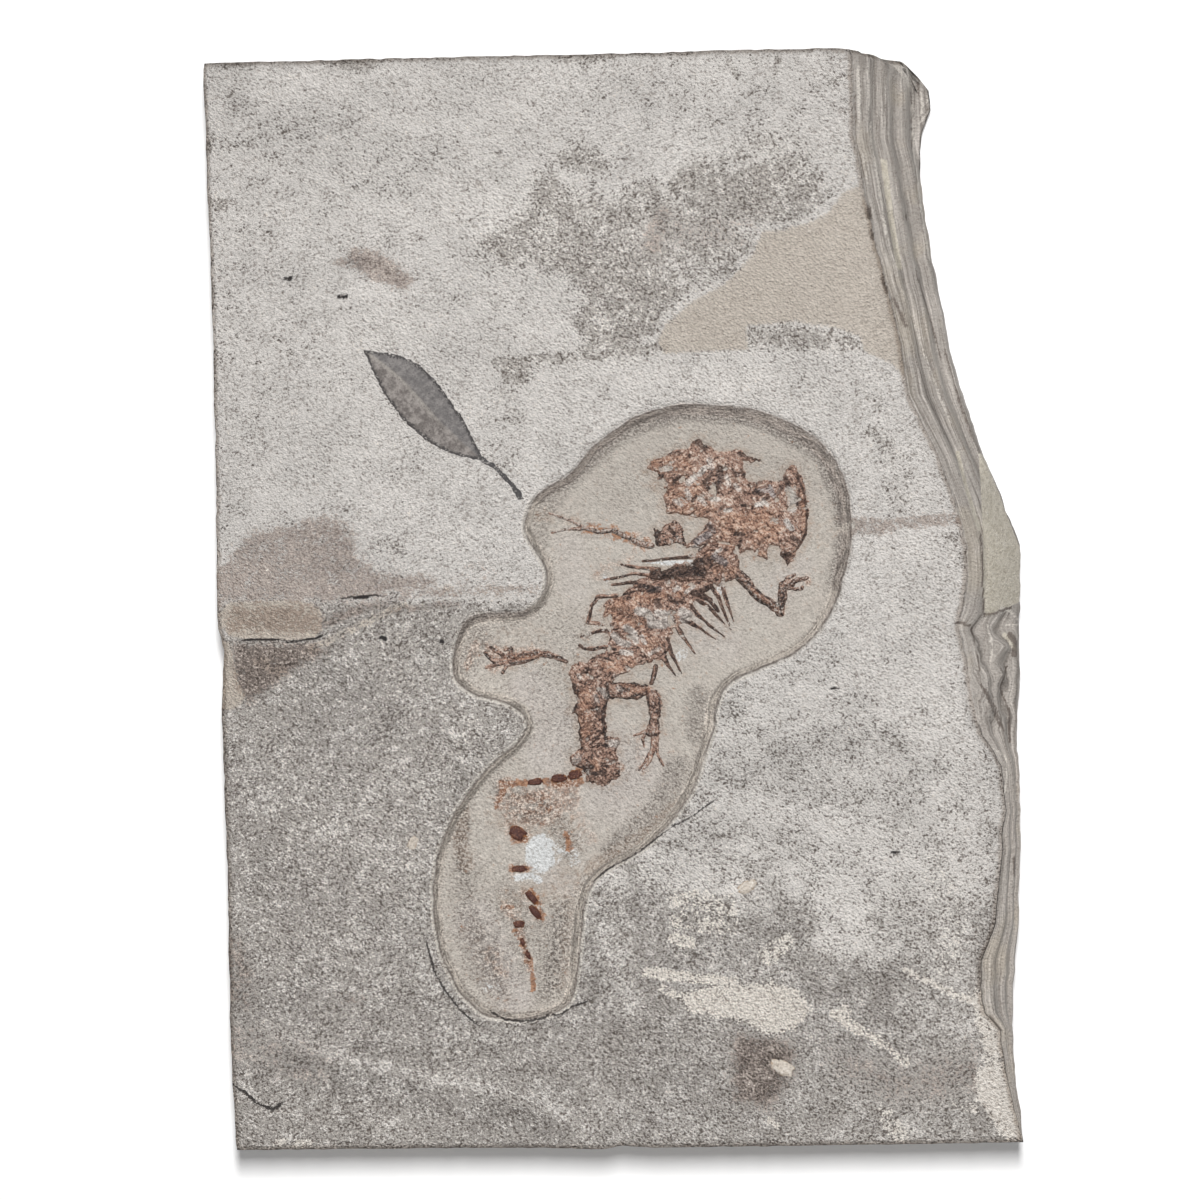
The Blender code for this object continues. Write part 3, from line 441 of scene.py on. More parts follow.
RUSTY_BONE = ((0.8, 1.2, (1, -0.4), (2.6, -1.8), (3.6, -1.4)),
    (0.7, 1.6, (-0.4, -2), (1.6, -3.4), (4.6, -4)), (0.7, 1.3, (4.4, 0.4), (9, 0.6)),
    (0.6, 1.5, (6, -7), (8, -8.6)), (0.6, 1.4, (-1, -12), (3, -11.6)),
    (0.7, 1.5, (-5.4, -17), (-5, -20), (-5, -24)), (0.7, 0.9, (12, 1.2), (13.6, 2.2)),
    (0.7, 0.8, (5.2, 5.4), (6.6, 5.1)), (0.8, 0.8, (-3.6, -29.2), (-3.2, -30.4)),
    (0.6, 1.8, (8, 24.6), (13, 24.8)), (0.6, 2.2, (11, 19.6), (15, 20)), (0.6, 1.6, (12, 16.4), (18, 16.2)),
    (0.7, 2.6, (21, 14), (27, 14)), (0.7, 1.8, (28, 15.8), (29, 13)), (0.6, 1.6, (26, 11), (29, 11.6)),
    (0.8, 0.7, (34.2, 20), (34.8, 16), (34.6, 12.4)), (0.7, 0.9, (18.6, 5.4), (21.4, 5.4)),
    (0.6, 1, (17.4, 8.4), (17.6, 7)), (0.6, 1, (20, 11.6), (21.6, 9.4)), (0.6, 1, (26.4, 8.2), (27.6, 8)),
    (0.7, 0.8, (24.2, 2.6), (28.6, -1)), (0.7, 0.35, (16.2, -0.6), (18.6, -2.6)),
    (0.6, 0.35, (12.4, -6), (14.2, -8.6)), (0.7, 0.6, (-19.4, -10.4), (-16, -10.4), (-13, -9.9)),
    (0.6, 1, (2, -15.8), (6, -16.4)))
BLUISH_BONE = ((0.8, 0.6, (31.4, 14.2), (32.2, 13)), (0.8, 0.6, (28.4, 20.4), (29, 19)),
    (0.8, 0.8, (18.4, 7.8), (20.2, 6.8)), (0.9, 0.8, (15.2, 10.6), (17.2, 11.8)),
    (0.6, 0.7, (18, 12.6), (17.4, 13.6)), (0.7, 0.6, (7, 1.8), (8.4, 2)),
    (0.6, 0.5, (19.4, 22.6), (19.2, 20.8)), (0.6, 0.6, (26.2, 19.8), (28.4, 19.8)))
HOLLOWS = ((0.9, 0.5, (31.2, 20.4), (33.2, 20.6), (33.2, 16.6), (31.8, 16.2), (31.2, 20.4)),
    (0.8, 0.4, (7.2, 21.8), (9.4, 22), (9.6, 20.6), (7.4, 20.8), (7.2, 21.8)), (0.6, 0.4, (15.6, 19.6),
     (17, 19), (16.4, 17.6), (14.8, 17.8), (15.6, 19.6)), (0.9, 0.5, (3, -12.6), (6, -12.2), (6.4, -14.4),
     (3.4, -14.6), (3, -12.6)), (0.5, 0.5, (15.4, 21), (14.4, 22.6)), (0.5, 0.5, (12, 18.4), (13.2, 17.6)))

print("marks on the bones:", sum(map(len, (DARK_BONE, PALE_BONE, RUSTY_BONE, BLUISH_BONE, HOLLOWS))))

# %% Height of the bones above the bed
LOWEST = -0.4  # mm; heights below the bed end there


def alike(lines, start, end):
    """The same radii, at the start and at the end, for several rods."""
    return tuple((line, start, end) for line in lines)


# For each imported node: plates as (outline, height, width of the rounded edge), rods as
# (line, radius at its start, radius at its end), how badly crushed, and how faint.
BONES = {
    "skull": (((SKULL_PLATE, 0.6, 0.6), (FRAGMENT, 0.75, 0.5)), ((SKULL_ARC, 0.75, 1.0),), 1.0, 0.0),
    "shoulder_plate": (((SHOULDER_PLATE, 0.45, 0.5),), (), 0.6, 0.1),
    "trunk": (((BODY_PLATE, 0.5, 0.8), (BACKBONE_PLATE, 0.95, 0.8), (NECK_PLATE, 0.7, 0.7)),
              alike(SPINES, 0.42, 0.26) + alike(LEFT_RIBS, 0.4, 0.34) + alike(RIGHT_RIBS, 0.52, 0.16)
              + ((FIRST_RIB, 0.8, 0.3),), 0.8, 0.0),
    "loose_rib": ((), ((LOOSE_RIB, 0.5, 0.45),), 0.2, 0.1),
    "left_arm": ((), ((LEFT_ARM, 0.55, 0.4),) + alike(LEFT_FINGERS, 0.3, 0.24), 0.2, 0.45),
    "right_arm": ((), ((RIGHT_UPPER_ARM, 1.0, 0.8), (RIGHT_FOREARM, 0.8, 0.7))
                  + alike(RIGHT_FINGERS, 0.5, 0.36), 0.5, 0.25),
    "left_leg": (((LEFT_ANKLE, 0.3, 0.3),), ((LEFT_THIGH, 0.45, 0.55),) + alike(LEFT_SHINS, 0.55, 0.5)
                 + alike(LEFT_TOES, 0.42, 0.3), 0.4, 0.2),
    "right_leg": (((RIGHT_THIGH, 0.6, 0.6), (RIGHT_SHIN, 0.5, 0.6)), alike(RIGHT_TOES, 0.34, 0.26),
                  0.5, 0.15),
    "tail_base": (((TAIL_BASE, 0.65, 0.9),), (), 0.6, 0.0)}


def bed_height(x, y):
    """Height of the bed in the hollow: low swells and a fine tooth."""
    swell = 0.05 * noise(x, y, 6.0, 32) + 0.03 * noise(x, y, 1.7, 33) + 0.018 * noise(x, y, 0.8, 34)
    return FLOOR + swell + 0.07 * noise(x, y, 19.0, 35)


def plate(x, y, outline, height, edge):
    """Level at height, rounded off over the edge width; and how near the outline a point is."""
    inside = depth(x, y, outline) + 0.36 * rough(x, y, 1.5, 71) + 0.14 * noise(x, y, 0.45, 72)
    top = height * (1.0 - (1.0 - np.clip(inside / edge, 0.0, 1.0)) ** 2)
    return np.where(inside > 0.0, top, 1.6 * inside), 1.0 - inside / 0.7


def rod(x, y, line, start, end):
    """A parabola across a line, r (1 - (d / r)^2), and how far out from the line as d / r."""
    distance, _, share = along(x + 0.1 * noise(x, y, 1.1, 73), y + 0.1 * noise(x, y, 1.1, 74), line)
    radius = start + (end - start) * share
    radius = radius * (1.0 + 0.22 * noise(x, y, 1.3, 75))
    return radius * (1.0 - (distance / radius) ** 2), distance / radius


def bone_height(x, y, plates, rods):
    """The highest of all plates and rods, and how near its edge a point is."""
    height, ratio = np.full(np.shape(x), LOWEST), np.zeros(np.shape(x))
    made = [plate(x, y, *shape) for shape in plates] + [rod(x, y, *shape) for shape in rods]
    for own, out in made:
        ratio = np.where(own > height, out, ratio)
        height = np.maximum(height, own)
    return np.maximum(height, LOWEST), ratio


print("bones:", ", ".join(BONES))

# %% [markdown]
# ## The slab
#
# Three of its edges are sawn or split straight down, and the right-hand one is broken in steps
# along the bedding. The slab is one closed skin: a grid over the face that runs on down the
# broken side, walls of even levels below the grid's border, and a coarser underside. The grid
# follows the outline because its columns run from the left edge to the broken edge at every
# height, and its rows from the bottom edge to the top one. Rows and columns lie closer over the
# hollow than elsewhere, so the triangles are spent where the shape is finest.

# %% Outlines of the slab in mm
BOTTOM_EDGE = ((-68.1, -99.6), (-52, -99.5), (-34, -99.3), (-14, -99.2), (-2, -99.5), (1.5, -98.9),
    (8, -99.2), (30, -98.9), (52, -98.6), (68, -98.3), (74.9, -98.2))
TOP_EDGE = ((-74.3, 97.2), (-72.6, 97.3), (-58, 97.7), (-38, 98.2), (-18, 98.6), (2, 99), (20, 99.6),
    (40, 100), (43.6, 99.8), (47, 99.5), (50.4, 98.6), (54.6, 98.4), (56, 96.8), (58.4, 95.2))
LEFT_EDGE = ((-68.1, -99.6), (-68.5, -94), (-69.2, -81.4), (-69.6, -63.3), (-70, -45.2), (-70.6, -28.9),
    (-70.9, -18.1), (-70.6, -9), (-71.6, -5), (-71.8, 7.2), (-72, 27.1), (-72.7, 54.3), (-73.8, 81.4),
    (-74.3, 95.5), (-74.2, 97.3))
# Up the broken side: y, x of the face's edge, x of the furthest layer below it.
BROKEN_EDGE = ((-98.2, 74, 74.9), (-94, 73.2, 74.9), (-88.6, 71.8, 74.2), (-83.2, 70.7, 73.6),
    (-77.8, 70, 73.6), (-74.8, 67, 73.7), (-70, 66.3, 73.9), (-65.1, 66.7, 74.3), (-59.7, 68.7, 74.7),
    (-48.8, 70, 74.9), (-38, 70.9, 75.1), (-29.8, 70.3, 74.8), (-24.4, 66.4, 74.6), (-14.5, 64.2, 75.1),
    (-4.3, 62.4, 75), (3.6, 63.8, 74.8), (9.9, 63.8, 74.9), (17.2, 61.8, 72), (27.1, 58.2, 68.3),
    (32.5, 55.5, 66.4), (37.1, 53.3, 64.8), (46.1, 51.9, 62.3), (57, 49.2, 60.1), (69.6, 46.1, 57.8),
    (77.8, 44.7, 57), (83.2, 43.4, 57), (86.4, 43.3, 57.3), (90.4, 43.2, 58.7), (95, 43.1, 58.4),
    (98.4, 43, 54.6), (99.8, 42.6, 47))
# Down the sides: height, how far out the broken side has come, how far in the others stand.
STEPS = ((0, 0.86, 1.5), (1.6, 0.96, 0.4), (6, 1, 0), (12, 0.92, 0.4), (12.5, 0.72, 0.1), (17, 0.62, 0),
    (17.5, 0.38, 0.4), (20.6, 0.3, 0.1), (21.1, 0.07, 0.1), (22, 0, 0.5))
STEP_HEIGHT, STEP_OUT, STEP_IN = np.array(STEPS).T

RECESS_RIM = ((-15.9, 15.2), (-14.6, 18.1), (-11.4, 20.8), (-7.4, 23.2), (-4, 27.7), (0.7, 31.1), (5.8, 34),
    (12.3, 35.3), (19.2, 35.4), (26, 34.4), (32.9, 31.6), (38.2, 28), (41.4, 23.1), (43, 16.8), (43.2, 11),
    (42.1, 5.2), (40.5, -0.5), (37.6, -5.2), (33.6, -9.2), (27.8, -12.1), (22.1, -14.6), (19.3, -18),
    (18.4, -23), (16.8, -28.2), (14.8, -33.9), (11, -39.8), (5.2, -45.4), (-1.1, -49), (-4, -52),
    (-5.2, -56.4), (-5.8, -62.4), (-6.6, -69.5), (-8.2, -73.6), (-14, -75.8), (-19.9, -75.9), (-23.6, -75),
    (-27.4, -71.4), (-30.2, -66.5), (-31.9, -61), (-32.6, -55), (-32.2, -48.6), (-30.7, -42.9),
    (-28.4, -38), (-24.8, -32.7), (-21, -28.7), (-17.3, -25.7), (-15.8, -23.1), (-16.5, -20.6),
    (-19.6, -18.6), (-24.4, -17.5), (-28.5, -14.8), (-28.9, -10.4), (-27.9, -6.4), (-26.2, -3.4),
    (-22.4, -2.3), (-16, -2), (-12.6, 1.4), (-12.2, 5.4), (-14.4, 9.4), (-16, 12.4))
LEAF_UPPER = ((-45.2, 45.2), (-40.1, 44.5), (-36.2, 43.2), (-33.6, 41.2), (-31.3, 38.7), (-28.8, 35),
    (-27, 32.5), (-25.1, 28.8), (-23.8, 26.3))
LEAF_LOWER = ((-45.2, 45.2), (-43.9, 42.5), (-42.4, 39.2), (-40.3, 35.7), (-38.4, 33.2), (-36.2, 30.9),
    (-33.6, 28.8), (-30.9, 27.2), (-28.2, 26.1), (-24.4, 25.3))
LEAF_LINE = np.vstack((curve(LEAF_UPPER, 3), curve(LEAF_LOWER, 3)[::-1]))
WALL_RUN, WALL_LEAN = 1.2, 0.8  # the wall leans in by the first, and by both on the upper right
RIM_LINE = curve(RECESS_RIM, 3, closed=True)
print("rim of the hollow:", len(RECESS_RIM), "points, smoothed to", len(RIM_LINE))

# %% Lay out the grid
COLUMNS = 229  # across the face
SIDE_COLUMNS = 28  # further columns down the broken side
ROWS = 305
COARSE, FINE = 1.15, 0.5  # spacing in mm
WEST, EAST, SOUTH, NORTH = -72.0, 64.0, -99.0, 99.0  # limits that the spacing is worked out for
FINE_X, FINE_Y = (-46.0, 46.0), (-77.0, 46.0)


def graded(low, high, fine_low, fine_high, count):
    """count places from low to high, closer between the two fine limits.

    The number of steps per mm is added up along the way, and read at even shares of the total.
    """
    at = np.linspace(low, high, 4000)
    blend = ramp(at, fine_low - 5.0, fine_low) * (1.0 - ramp(at, fine_high, fine_high + 5.0))
    steps = np.cumsum(1.0 / COARSE + (1.0 / FINE - 1.0 / COARSE) * blend)
    return np.interp(np.linspace(steps[0], steps[-1], count), steps, at)


column_share = (graded(WEST, EAST, *FINE_X, COLUMNS) - WEST) / (EAST - WEST)
row_share = (graded(SOUTH, NORTH, *FINE_Y, ROWS) - SOUTH) / (NORTH - SOUTH)
print(f"spacing across the hollow {np.diff(column_share).min() * (EAST - WEST):.2f} mm")

broken_y, broken_face, broken_far = np.array(BROKEN_EDGE).T
left_x, left_y = np.array(LEFT_EDGE).T
bottom_x, bottom_y = np.array(BOTTOM_EDGE).T
top_x, top_y = np.array(TOP_EDGE).T

out_share = np.concatenate((np.zeros(COLUMNS - 1), np.linspace(0.0, 1.0, SIDE_COLUMNS + 1) ** 0.9))
face_share = np.concatenate((column_share, np.ones(SIDE_COLUMNS)))
out_share, _ = np.meshgrid(out_share, row_share, indexing="ij")
face_share, up_share = np.meshgrid(face_share, row_share, indexing="ij")


def broken_line(y):
    """x of the face's edge and of the furthest layer at y, with small bites out of both."""
    face = np.interp(y, broken_y, broken_face) + 0.22 * rough(y, 0.0 * y, 3.1, 5)
    far = np.interp(y, broken_y, broken_far) - 0.16 * (1.0 + rough(y, 0.0 * y + 9.0, 2.3, 6))
    return face, far


def place_grid(y):
    """x of the grid, from the left edge to the broken edge and on to the furthest layer."""
    left = np.interp(y, left_y, left_x) + 0.12 * (1.0 + rough(y, 0.0 * y + 3.0, 2.7, 7))
    face, far = broken_line(y)
    return left + face_share * (face - left) + out_share * (far - face)


gx = place_grid(SOUTH + (NORTH - SOUTH) * up_share)
low_y = np.interp(gx, bottom_x, bottom_y) + 0.1 * (1.0 + rough(gx, 0.0 * gx + 5.0, 2.5, 8))
high_y = np.interp(gx, top_x, top_y) - 0.12 * (1.0 + rough(gx, 0.0 * gx + 7.0, 2.2, 9))
gy = low_y + up_share * (high_y - low_y)
gx = place_grid(gy)
print("grid of", gx.size, "points over the face and the broken side")

# %% [markdown]
# ## Relief of the face
#
# The face is one bedding plane: nearly flat, finely pitted, with the hollow cut into it. The
# hollow's wall is a function of the distance to its rim. A grid of squares would show that rim
# as a staircase, so the points that lie close to the rim, or to the foot of the wall, are first
# slid sideways onto it. After that the edges are true lines of the mesh.

# %% Slide the nearest points onto the rim and the foot of the wall
REACH = 0.27  # mm, about half the spacing


def edge_facts(x, y, line):
    """Depth inside a slightly ragged closed line, and the direction out of it as two numbers.

    The direction is the slope of the depth, read from two points a little to either side.
    """
    inside = depth(x, y, line) + 0.16 * rough(x, y, 2.4, 19)
    step = 0.05
    out_x = depth(x - step, y, line) - depth(x + step, y, line)
    out_y = depth(x, y - step, line) - depth(x, y + step, line)
    length = np.maximum(np.hypot(out_x, out_y), 1e-6)
    return inside, out_x / length, out_y / length


def wall_width(out_x, out_y):
    """How far the wall leans in, more where it looks away from the upper right."""
    return WALL_RUN + WALL_LEAN * np.maximum(0.0, 0.7 * out_x + 0.7 * out_y)


for edge in (0.0, 1.0):  # the rim, then the foot of the wall
    around = np.abs(depth(gx, gy, RIM_LINE)) < 4.0
    inside, out_x, out_y = edge_facts(gx[around], gy[around], RIM_LINE)
    slide = inside - edge * wall_width(out_x, out_y)
    slide = np.where(np.abs(slide) < REACH, slide, 0.0)
    gx[around] += slide * out_x
    gy[around] += slide * out_y
rim_depth, rim_out_x, rim_out_y = (
    facts.reshape(gx.shape) for facts in edge_facts(gx.ravel(), gy.ravel(), RIM_LINE))
print("points beside the hollow's rim:", int(around.sum()))

# %% Lines and edges of the face
face_edge, far_edge = broken_line(gy)
left_gap = gx - np.interp(gy, left_y, left_x)
bottom_gap = gy - np.interp(gx, bottom_x, bottom_y)
top_gap = np.interp(gx, top_x, top_y) - gy
right_gap = np.where(out_share > 0.0, 0.0, face_edge - gx)

STEP_LINE = ((-19, 42.6), (-10, 42.2), (0, 42.9), (5, 43.2), (15, 44.1), (25, 45.2), (35, 45.3),
    (44.5, 44.4), (48.5, 43), (52.5, 41))
EDGE_CHIPS = ((1, 0.7, (-71.6, -5), (-70.2, -7), (-68.9, -12), (-67.6, -16.5), (-69.8, -20), (-72, -18),
     (-72.4, -6), (-71.6, -5)), (0.8, 0.8, (62.2, -4.4), (64.2, -6), (64.9, -14), (66, -22)),
    (0.7, 1, (-53, 99), (-50, 97), (-46, 96.6), (-43, 97.6), (-42, 99.5)),
    (0.6, 1, (-73.9, 86), (-73, 82), (-73.6, 76)))
print("chips along the edges:", len(EDGE_CHIPS))

# %% Heights of the face and of the broken side
LEAF_PRINT = 0.35  # mm that the stone lies lower under the leaf
FULL_REACH = 11.6  # mm that the beds run out in full; the corner above y = 80 goes further or less


def face_height(x, y):
    """Height of the face without the hollow: long swells, then smaller and smaller bumps."""
    high = 0.10 * noise(x, y, 31.0, 1) + 0.05 * noise(x, y, 9.0, 2) + 0.035 * noise(x, y, 3.4, 3)
    turned = 0.94 * x + 0.34 * y
    across = 0.94 * y - 0.34 * x
    pitted = 0.05 * noise(turned / 1.6, across, 0.95, 4) + 0.03 * noise(x, y, 0.8, 11)
    return FACE - 0.14 + high + pitted


def edge_drop(gap, width, drop):
    """A worn edge: nothing at width in from it, falling faster and faster to drop at the edge."""
    return drop * np.clip(1.0 - gap / width, 0.0, 1.0) ** 2


def bed_share(y, share):
    """Which bed shows at a place on the broken side, from 0 at the face to 1 at the lowest.

    The beds run almost straight along y; between y = -26 and -3 they flow in tight curves.
    """
    flow = ramp(y, -27.0, -21.0) * (1.0 - ramp(y, -6.0, -2.0))
    wander = 0.045 * noise(y, share * 3.0, 38.0, 21) + 0.02 * rough(y, share * 6.0, 9.0, 22)
    wander += flow * (0.30 * noise(y, share * 9.0, 8.0, 24) + 0.10 * rough(y, share * 14.0, 2.6, 25))
    return share + 4.0 * np.maximum(share * (1.0 - share), 0.0) * wander


def ledges(y, share):
    """Height down the broken side, where share goes from 0 at the face to 1 at the furthest layer.

    The steps of the bedding are read from the bed that shows there, thin beds stand out from
    them like the pages of a book, and a smooth scar crosses the middle of the side.
    """
    free = 4.0 * share * (1.0 - share)
    bed = bed_share(y, share * np.maximum(bed_scale, 1.0))
    high = np.interp(bed, STEP_OUT[:1:-1], STEP_HEIGHT[:1:-1]) - 2.4 * ramp(bed, 1.0, 1.05)
    scar = ramp(y, -3.5, -1.5) * (1.0 - ramp(y, 19.0, 27.0)) * ramp(share, 0.25, 0.36)
    bowl = FACE - 3.0 - 15.0 * np.clip(share - 0.25, 0.0, 1.0) ** 1.5
    pages = 0.30 * np.abs(noise(bed * 30.0, y * 0.05, 1.0, 26)) + 0.12 * noise(bed * 64.0, y * 0.1, 1.0, 27)
    tooth = 0.05 * rough(y, share * 22.0, 0.9, 23)
    layered = (pages * (1.0 - 0.85 * scar) + tooth) * np.minimum(1.0, 3.0 * free)
    return high * (1.0 - scar) + bowl * scar + layered


print("height of the face in its middle:", round(float(face_height(np.zeros(1), np.zeros(1))[0]), 2), "mm")

# %% Work out the height of every point
bed_scale = 1.0 + ((far_edge - face_edge) / FULL_REACH - 1.0) * ramp(gy, 60.0, 80.0)
wall = wall_width(rim_out_x, rim_out_y)
down = np.clip(rim_depth / wall, 0.0, 1.0)
# The knife left three shallow benches on the wall, one above the other.
bench = down + 0.045 * np.sin(6.0 * np.pi * down) * ramp(noise(gx, gy, 7.0, 31), -0.6, 0.4)
dished = 0.15 * (1.0 - ramp(rim_depth - wall, 0.0, 3.0))
gz = face_height(gx, gy) * (1.0 - bench) + (bed_height(gx, gy) + dished) * bench
gz += 0.05 * (1.0 - ramp(np.abs(rim_depth + 0.5), 0.0, 0.6)) * (rim_depth < 0.0)
step_distance, step_side, _ = along(gx, gy, STEP_LINE)
gz -= 0.10 * (step_side < 0) * (1.0 - ramp(step_distance, 0.2, 9.0)) * ramp(gy, 30.0, 40.0)
gz -= marks(gx, gy, EDGE_CHIPS)
gz -= LEAF_PRINT * ramp(depth(gx, gy, LEAF_LINE), 0.15, 0.6)
left_drop = 0.35 + 0.5 * ramp(gy, 40.0, 62.0) * ramp(noise(gx, gy, 11.0, 36), -0.7, 0.3)
gz -= edge_drop(left_gap, 1.7, left_drop)
gz -= edge_drop(bottom_gap, 1.0, 0.5) + edge_drop(top_gap, 1.6, 0.6) + edge_drop(right_gap, 0.8, 0.35)
gz = np.where(out_share > 0.0, ledges(gy, out_share) - edge_drop(top_gap, 1.6, 0.6), gz)
gz = np.minimum(gz, FACE + 0.12)
print(f"face from {gz[out_share == 0.0].min():.2f} to {gz.max():.2f} mm")

# %% [markdown]
# ## Walls, underside and the mesh itself
#
# The border of the grid is one closed line of points. Each wall level repeats that line lower
# down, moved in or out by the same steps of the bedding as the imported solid, with thin uneven
# beds on top. The underside needs no detail, so it uses every fourth point of the grid; round
# its edge each face takes in the three border points that lie between its own corners.

# %% Build the walls
LEVELS = 12


def border_of(grid):
    """Point numbers round the border of a grid: bottom, right side, top and left side."""
    return np.concatenate((grid[:-1, 0], grid[-1, :-1], grid[:0:-1, -1], grid[0, :0:-1]))


columns, rows = gx.shape
number = np.arange(columns * rows).reshape(columns, rows)
border = border_of(number)
inward = np.zeros((columns, rows, 2))
inward[:, 0, 1] += 1.0
inward[:, -1, 1] -= 1.0
inward[0, :, 0] += 1.0
inward = inward.reshape(-1, 2)[border]
overhang = (far_edge - face_edge).ravel()[border] * (out_share.ravel()[border] > 0.0)
travel = np.concatenate(([0.0], np.cumsum(np.hypot(*np.diff(np.column_stack(
    (gx.ravel()[border], gy.ravel()[border])), axis=0).T))))

level = 1.0 - np.arange(1, LEVELS + 1)[:, None] / LEVELS
wall_z = gz.ravel()[border][None, :] * level
stand_in = np.interp(wall_z, STEP_HEIGHT, STEP_IN)
beds = 0.28 * (1.0 + noise(wall_z + 0.02 * travel, travel * 0.02, 0.9, 41)) * ramp(wall_z, 0.0, 1.0)
chips = 0.22 * (1.0 + rough(travel, wall_z, 4.0, 42)) + 0.08 * (1.0 + noise(travel, wall_z, 0.9, 44))
tucked = overhang * (1.0 - np.interp(wall_z, STEP_HEIGHT[:3], STEP_OUT[:3]))
fade = np.minimum(1.0, np.arange(1, LEVELS + 1)[:, None] / 2.0)
moved = (stand_in + beds + chips) * fade
wall_x = gx.ravel()[border] + inward[:, 0] * moved - tucked
on_broken = out_share.ravel()[border] >= 1.0
wall_x -= on_broken * (beds + chips) * fade
wall_y = gy.ravel()[border] + inward[:, 1] * moved
print("wall points:", wall_z.size)

# %% Join grid, walls and underside in one closed skin
SKIP = 4
INSET_X, INSET_Y = 2.2 / 75.0, 2.2 / 100.0  # mm that the underside stands in, over half its size


def quads(grid):
    """The four-cornered faces of a grid of point numbers, anticlockwise seen from above."""
    return np.stack((grid[:-1, :-1], grid[1:, :-1], grid[1:, 1:], grid[:-1, 1:]), -1).reshape(-1, 4)


count = columns * rows
wall_number = count + np.arange(LEVELS * border.size).reshape(LEVELS, border.size)
rings = np.vstack((border, wall_number))
rings = np.column_stack((rings, rings[:, 0]))
wall_faces = np.stack((rings[1:, :-1], rings[1:, 1:], rings[:-1, 1:], rings[:-1, :-1]), -1).reshape(-1, 4)

under_x = gx[::SKIP, ::SKIP] * (1.0 - INSET_X) - 0.1
under_y = gy[::SKIP, ::SKIP] * (1.0 - INSET_Y)
under_x = under_x - out_share[::SKIP, ::SKIP] * 0.14 * (far_edge - face_edge)[::SKIP, ::SKIP]
under_z = 0.16 * (1.0 + rough(under_x, under_y, 23.0, 51))
under_z += 0.1 * (1.0 + rough(under_x, under_y, 5.0, 52))
under_z = np.maximum(under_z, 0.0)
inner = (slice(1, -1), slice(1, -1))
start = count + wall_number.size
under_count = under_x[inner].size
under_number = np.full(under_x.shape, -1)
under_number[inner] = start + np.arange(under_count).reshape(under_x[inner].shape)
under_faces = quads(under_number[inner])[:, ::-1]

# Each coarse border point looks at the nearest inner point of the underside.
i, j = np.meshgrid(*(np.clip(np.arange(n), 1, n - 2) for n in under_x.shape), indexing="ij")
partner = border_of(under_number[i, j])
partner = np.append(partner, partner[0])
last_ring = np.append(wall_number[-1], wall_number[-1, 0])
fine = np.arange(0, border.size, SKIP)
fan = [partner[:-1], partner[1:]] + [last_ring[fine + k] for k in range(SKIP, -1, -1)]
fans = [list(dict.fromkeys(row)) for row in np.stack(fan, -1).tolist()]

slab_points = np.vstack((
    np.column_stack((gx.ravel(), gy.ravel(), gz.ravel())),
    np.column_stack((wall_x.ravel(), wall_y.ravel(), wall_z.ravel())),
    np.column_stack((under_x[inner].ravel(), under_y[inner].ravel(), under_z[inner].ravel()))))
slab_faces = quads(number).tolist() + wall_faces.tolist() + under_faces.tolist() + fans
print("slab skin:", len(slab_points), "points,", len(slab_faces), "faces")

# %% Make an object of a skin and put it in its place


def solid(name, points, faces, values=None):
    """A smooth mesh object of points in mm, with each array of values as a named attribute."""
    mesh = bpy.data.meshes.new(name)
    mesh.from_pydata((np.asarray(points) * MM).tolist(), [], faces)
    mesh.polygons.foreach_set("use_smooth", np.ones(len(mesh.polygons), bool))
    for label, value in (values or {}).items():
        mesh.attributes.new(label, "FLOAT", "POINT").data.foreach_set(
            "value", np.ravel(value).astype(np.float32))
    mesh.update()
    piece = bpy.data.objects.new(name, mesh)
    scene.collection.objects.link(piece)
    return piece


def dress(piece, node, material):
    """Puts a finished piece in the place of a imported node."""
    piece.data.materials.append(material)
    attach(piece, "root")
    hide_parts(node)
    triangles = sum(len(face.vertices) - 2 for face in piece.data.polygons)
    print(f"{piece.name}: {triangles} triangles in place of {node}")


print("skins are drawn in mm and kept in metres, times", MM)
